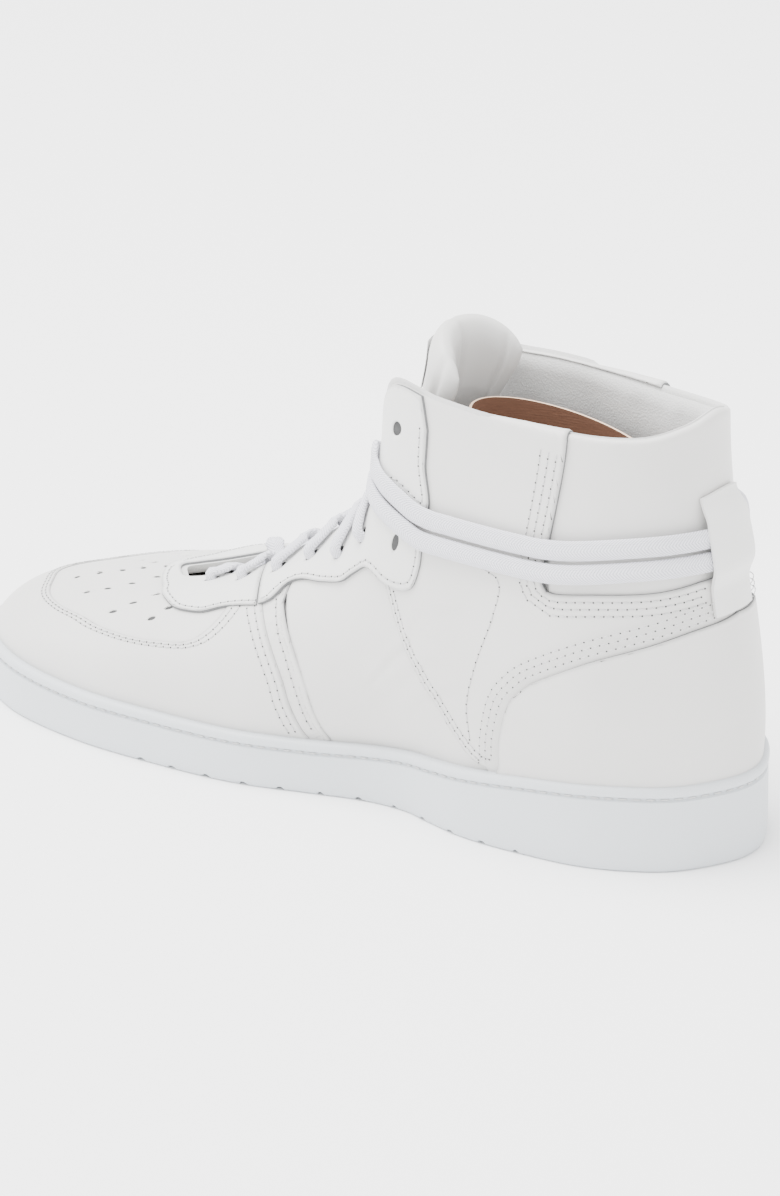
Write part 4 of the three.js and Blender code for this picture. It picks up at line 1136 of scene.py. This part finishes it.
def on_tongue(point, clearance):
    """The place in front of the tongue nearest to a point."""
    def ahead(along):
        return float((point - tongue_middle(along)[0]) @ tongue_tangent(along)[0]) > 0
    along = bisect(ahead, 0, 1)
    width = tongue_row([along])[0][2] + clearance
    lean = tongue(0, along, 0)[0][1]
    across = math.asin(max(-1.0, min(1.0, (point[1] - lean) / width))) / TONGUE_SWEEP
    return tongue(across, along, -clearance - fold_room(along))[0], tongue_tangent(along)[0], LACE_WIDTH


def through_eyelet(side, index):
    around, rise = lace_holes[index]
    return [on_upper(side, around, rise, distance, 4.0) for distance in (UNDER + 0.3, OVER - 0.3)]


def off_tongue(station):
    clear = on_tongue(station[0], LACE_ROOM + 0.1)[0]
    return (clear, *station[1:]) if clear[0] < station[0][0] else station


def over_tongue(start, end, lift, last=0.8):
    stations = []
    for share in np.linspace(0.2, last, 7):
        raised = lift * min(1.0, share * 6, (1.2 - share) * 6)
        stations.append(on_tongue(start + (end - start) * share, LACE_ROOM + 0.55 + raised))
    return stations


def crossing(index, side, lift):
    here, following = lace_holes[index], lace_holes[index + 1]

    def between(share):
        return here[0] + (following[0] - here[0]) * share
    leave = on_upper(side, between(0.12), 2, OVER)
    arrive = on_upper(-side, between(0.88), 2, UNDER)
    return [
        *through_eyelet(side, index),
        on_upper(side, between(0.04), (here[1] + 1) / 2, OVER),
        on_upper(side, between(0.07), 1, OVER),
        leave,
        *over_tongue(leave[0], arrive[0], lift),
        off_tongue(arrive),
        off_tongue(on_upper(-side, between(0.95), (following[1] + 1) / 2, UNDER)),
    ]


def throat_half(side, lift):
    around, rise = lace_holes[0]
    dive = on_upper(side, around - 0.004, (rise + 1) / 2, UNDER)
    other = on_upper(-side, around - 0.004, (rise + 1) / 2, UNDER)
    bar = [on_tongue(other[0] + (dive[0] - other[0]) * (1 - share), LACE_ROOM) for share in (0.5, 0.35, 0.2)]
    strands = [s for index in range(5) for s in crossing(index, -side if index % 2 else side, lift)]
    return [*bar, dive, *strands, *through_eyelet(-side, 5)]


def wrap_height(from_heel, drop):
    level = 102 + 5 * (1 - smooth(15, 60, from_heel)) + 11 * smooth(100, 130, from_heel)
    return float(level - drop * (1 + 0.15 * smooth(95, 118, from_heel)))


def round_ankle(side, drop):
    edge = bisect(lambda around: skin(around, 1)[0][2] < wrap_height(124, drop), 0.18, 0.3)
    lap = []
    for share in np.linspace(edge + 0.006, 1 - edge - 0.006, 41):
        around = on_side(side, share)
        height = wrap_height(150.0 - skin(around, 0.72)[0][0], drop)
        rise = bisect(lambda value, at=around, level=height: skin(at, value)[0][2] < level, 0, 1)
        away = ramp(abs(around - 0.5), [[0.03, 1.5], [0.1, OVER - 0.8], [0.16, OVER]])
        lap.append((upper(around, rise, away)[0], rising(np.array([around]), np.array([rise]))[0],
            LACE_WIDTH))
    return [
        on_upper(side, edge, 2, OVER), on_upper(side, edge + 0.003, 1, OVER), *lap,
        on_upper(-side, edge + 0.003, 1, OVER), on_upper(-side, edge, 2, OVER),
    ]


def wrap_half(side, drop, lift, across, height, end_lift):
    around, rise = lace_holes[5]
    lap = round_ankle(-side, drop)
    leave = on_upper(side, around - 0.010, 2, OVER)
    along = bisect(lambda value: tongue_middle(value)[0][2] < height, 0, 1)
    end = tongue(across, along, -LACE_ROOM - fold_room(along))[0]
    return [
        on_upper(side, around - 0.005, (rise + 1) / 2, OVER), on_upper(side, around - 0.0075, 1, OVER), leave,
        *over_tongue(leave[0], lap[0][0], lift), *lap,
        *over_tongue(lap[-1][0], end, end_lift, 1.0),
    ]


first_half = [*throat_half(-1, LACE_LIFT), *wrap_half(1, 0, 3 * LACE_LIFT, -0.5, 117, 0)]
second_half = [*throat_half(1, 0), *wrap_half(-1, 7.4, 2 * LACE_LIFT, 0, 107, 1.5 * LACE_LIFT)]
lace_path = first_half[::-1][:-1] + second_half

stations = np.array([station[0] for station in lace_path])
widths = np.array([[*station[1], station[2]] for station in lace_path])
for index in range(1, len(widths)):
    if widths[index, :3] @ widths[index - 1, :3] < 0:
        widths[index, :3] *= -1


def along_lace(values):
    """Fills in between the stations with a smooth curve, a point about every millimetre."""
    padded = np.vstack([2 * values[0] - values[1], values, 2 * values[-1] - values[-2]])
    filled = []
    for index in range(len(values) - 1):
        a, b, c, d = padded[index : index + 4]
        count = max(2, round(float(np.linalg.norm(stations[index + 1] - stations[index]))))
        for s in np.linspace(0, 1, count, endpoint=False):
            filled.append(
                0.5 * (
                    2 * b + (c - a) * s + (2 * a - 5 * b + 4 * c - d) * s**2 + (3 * b - a - 3 * c + d) * s**3
                )
            )
    return np.array([*filled, values[-1]])


spine = along_lace(stations)
breadth = along_lace(widths)
heading = unit(np.gradient(spine, axis=0))
wide = breadth[:, :3] - heading * (breadth[:, :3] * heading).sum(1)[:, None]
wide = unit(wide)
thick = unit(np.cross(heading, wide))
span = np.clip(breadth[:, 3], 3.8, LACE_WIDTH)
travel = np.concatenate([[0.0], np.cumsum(np.linalg.norm(np.diff(spine, axis=0), axis=1))])


def lace_finish():
    recipe = Recipe("woven_lace", Roughness=0.8, Sheen_Weight=0.1)
    along, across = recipe.painted("lace_along"), recipe.painted("lace_across")
    chevron = recipe.node("Math", {"operation": "ABSOLUTE"}, {0: across})
    weave = recipe.node("Math", {"operation": "SINE"}, {0: (along + chevron * 1.1) * 6.0})
    ribs = recipe.node("Math", {"operation": "SINE"}, {0: across * 9.5})
    height = weave * 0.5 + ribs * 0.35 + recipe.noise(2500.0, 2.0) * 0.3
    # Painted shade: the colour darkens where the weave's height is low, in the hollows between its ribs.
    shade = recipe.mix(recipe.between(weave, -1.0, 0.6), (0.50, 0.50, 0.55), (0.76, 0.76, 0.81))
    return recipe.give(Base_Color=shade, Normal=recipe.bump(height, 0.00025, 0.6))


def lace_section(flat):
    step = np.rint(flat[:, 0]).astype(int)
    angle = 2 * np.pi * flat[:, 1] / LACE_SIDES
    flatter = np.sign(np.cos(angle)) * np.abs(np.cos(angle)) ** 0.7
    room = np.where(span[step] < LACE_WIDTH - 0.5, 1.15, 1.0)
    return (
        spine[step]
        + wide[step] * (span[step] / 2 * flatter)[:, None]
        + thick[step] * (LACE_THICK / 2 * room * np.sin(angle))[:, None]
    )


ribbon = bmesh.new()
bmesh.ops.create_grid(ribbon, x_segments=len(spine) - 1, y_segments=LACE_SIDES, size=0.5)
lace_along = ribbon.verts.layers.float.new("lace_along")
lace_across = ribbon.verts.layers.float.new("lace_across")
for vertex in ribbon.verts:
    vertex.co.x = (vertex.co.x + 0.5) * (len(spine) - 1)
    vertex.co.y = (vertex.co.y + 0.5) * LACE_SIDES
    vertex[lace_along] = travel[round(vertex.co.x)]
    vertex[lace_across] = LACE_WIDTH / 2 * math.cos(2 * math.pi * vertex.co.y / LACE_SIDES)
mapped(ribbon, lace_section)
bmesh.ops.remove_doubles(ribbon, verts=ribbon.verts, dist=0.0005)
bmesh.ops.holes_fill(ribbon, edges=[edge for edge in ribbon.edges if edge.is_boundary], sides=0)
bmesh.ops.recalc_face_normals(ribbon, faces=ribbon.faces)
smooth_faces(ribbon, 1.3)
piece_from(ribbon, "woven_laces", [lace_finish()], "shoe", ["lace"])

# ---- The heel loop ----
# A strap of the trim leather, sewn down at both ends over the back of the collar, and standing off
# it in between so that the laces pass behind.
LOOP_MIDDLE = 0.497
LOOP_HALF = 9.0
LOOP_THICK = 1.6
LOOP_STAND = [[0.59, 0], [0.62, 0.8], [0.66, 1], [0.71, 1], [0.775, 0.9], [0.795, 0]]
LOOP_REACH = 3.4


def loop_stand(rise):
    """How far the strap stands off, rounded where it leaves the collar and comes back to it."""
    return sum(ramp(rise + shift, LOOP_STAND) for shift in np.linspace(-0.02, 0.02, 9)) / 9


def loop_place(flat):
    rise = flat[:, 1]
    seat = ramp(rise, [[0.62, -0.1], [0.74, -1.4]]) + 0.3
    distance = seat + LOOP_REACH * loop_stand(rise) + LOOP_THICK
    narrow = np.linalg.norm(skin(LOOP_MIDDLE + 0.01, rise) - skin(LOOP_MIDDLE - 0.01, rise), axis=1) / 0.02
    return upper(LOOP_MIDDLE + flat[:, 0] * LOOP_HALF / narrow, rise, distance)


strap = bmesh.new()
bmesh.ops.create_grid(strap, x_segments=16, y_segments=64, size=1.0)
for vertex in strap.verts:
    vertex.co.y = 0.505 + (vertex.co.y + 1) / 2 * 0.315
mapped(strap, loop_place)
bmesh.ops.recalc_face_normals(strap, faces=strap.faces)
bmesh.ops.solidify(strap, geom=strap.faces, thickness=LOOP_THICK - 0.2)
bmesh.ops.recalc_face_normals(strap, faces=strap.faces)
strap_seam = strap.verts.layers.float.new("seam")
for vertex in strap.verts:
    vertex[strap_seam] = 99.0
smooth_faces(strap, 0.9)
piece_from(strap, "heel_loop_strap", [LEATHER_TRIM, LEATHER_EDGE], "shoe", ["heel_loop"])

# ---- The shaping insert ----
# A strip of tan card rolled into an oval and stood inside the ankle, so that the collar keeps its
# shape. Its cut top edge is paler than its faces: partly the card's own cut edge, partly a painted highlight
# where the top edge catches the light. It lifts out.
CARD_MIDDLE = Vector((150.0 - 71.0, -4.5))
CARD_HALF = Vector((33.0, 19.0))
CARD_THICK = 0.8
CARD_TOP = 125.5
CARD_SLOPE = 0.17


def card_finish(name, cut_edge_and_highlight):
    recipe = Recipe(name, Roughness=0.85)
    stretch = recipe.node("Mapping", {}, {"Vector": recipe.place(), "Scale": (60.0, 60.0, 700.0)})
    fibre = recipe.noise(3.0, 5.0, stretch)
    tones = ((0.79, 0.60, 0.45), (0.66, 0.47, 0.34)) if cut_edge_and_highlight else ((0.175, 0.082, 0.046),
        (0.115, 0.052, 0.03))
    return recipe.give(Base_Color=recipe.mix(fibre, *tones), Normal=recipe.bump(fibre, 0.0002, 0.5))


def card_place(flat):
    turn = 2 * np.pi * flat[:, 0]
    x = CARD_MIDDLE.x + CARD_HALF.x * np.cos(turn)
    y = CARD_MIDDLE.y + CARD_HALF.y * np.sin(turn)
    from_heel = 150.0 - x
    foot = sole_top(from_heel) + 0.3
    top = CARD_TOP + (from_heel - 71) * CARD_SLOPE
    return np.column_stack([x, y, foot + (top - foot) * flat[:, 1]])


card = bmesh.new()
bmesh.ops.create_grid(card, x_segments=120, y_segments=40, size=0.5)
for vertex in card.verts:
    vertex.co.x += 0.5
    vertex.co.y += 0.5
mapped(card, card_place)
bmesh.ops.remove_doubles(card, verts=card.verts, dist=0.001)
bmesh.ops.recalc_face_normals(card, faces=card.faces)
bmesh.ops.solidify(card, geom=card.faces, thickness=CARD_THICK)
bmesh.ops.recalc_face_normals(card, faces=card.faces)
# Up-facing cut edges get the pale finish: the card's own edge with a painted highlight on top.
for face in card.faces:
    face.material_index = int(abs(face.normal.z) > 0.6)
smooth_faces(card, 0.8)
piece_from(card, "rolled_card", [card_finish("tan_card", False), card_finish("card_cut_edge_highlight", True)],
           "card", ["shaping_insert"])

# ---- The pieces inside ----
# The foam midsole, steel shank, insole board, sock liner, toe puff and heel counter are as modelled.
# They lie hidden in the shoe, apart from the sock liner, which shows from above.


def inner_finish(name, colour, gloss, metal=0.0):
    recipe = Recipe(name, Metallic=metal)
    shade = recipe.mix(recipe.noise(90.0), colour, tuple(channel * 0.9 for channel in colour))
    return recipe.give(Base_Color=shade, Roughness=recipe.noise(200.0) * 0.1 + gloss)


INNER_FINISHES = {
    "foam_midsole": inner_finish("midsole_foam", (0.52, 0.53, 0.54), 0.8),
    "shank": inner_finish("shank_steel", (0.55, 0.56, 0.58), 0.3, 1.0),
    "insole_board": inner_finish("fibre_board", (0.42, 0.32, 0.22), 0.8),
    "footbed": textile("sock_liner", (0.74, 0.74, 0.73), 0.94),
    "toe_puff": inner_finish("toe_stiffener", (0.62, 0.60, 0.55), 0.7),
    "heel_counter": inner_finish("heel_stiffener", (0.62, 0.60, 0.55), 0.7),
    "collar_padding": inner_finish("collar_foam", (0.60, 0.60, 0.58), 0.85),
}
for node_name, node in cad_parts.items():
    node.data.materials.clear()
    node.data.materials.append(INNER_FINISHES.get(node_name, INNER_FINISHES["heel_counter"]))
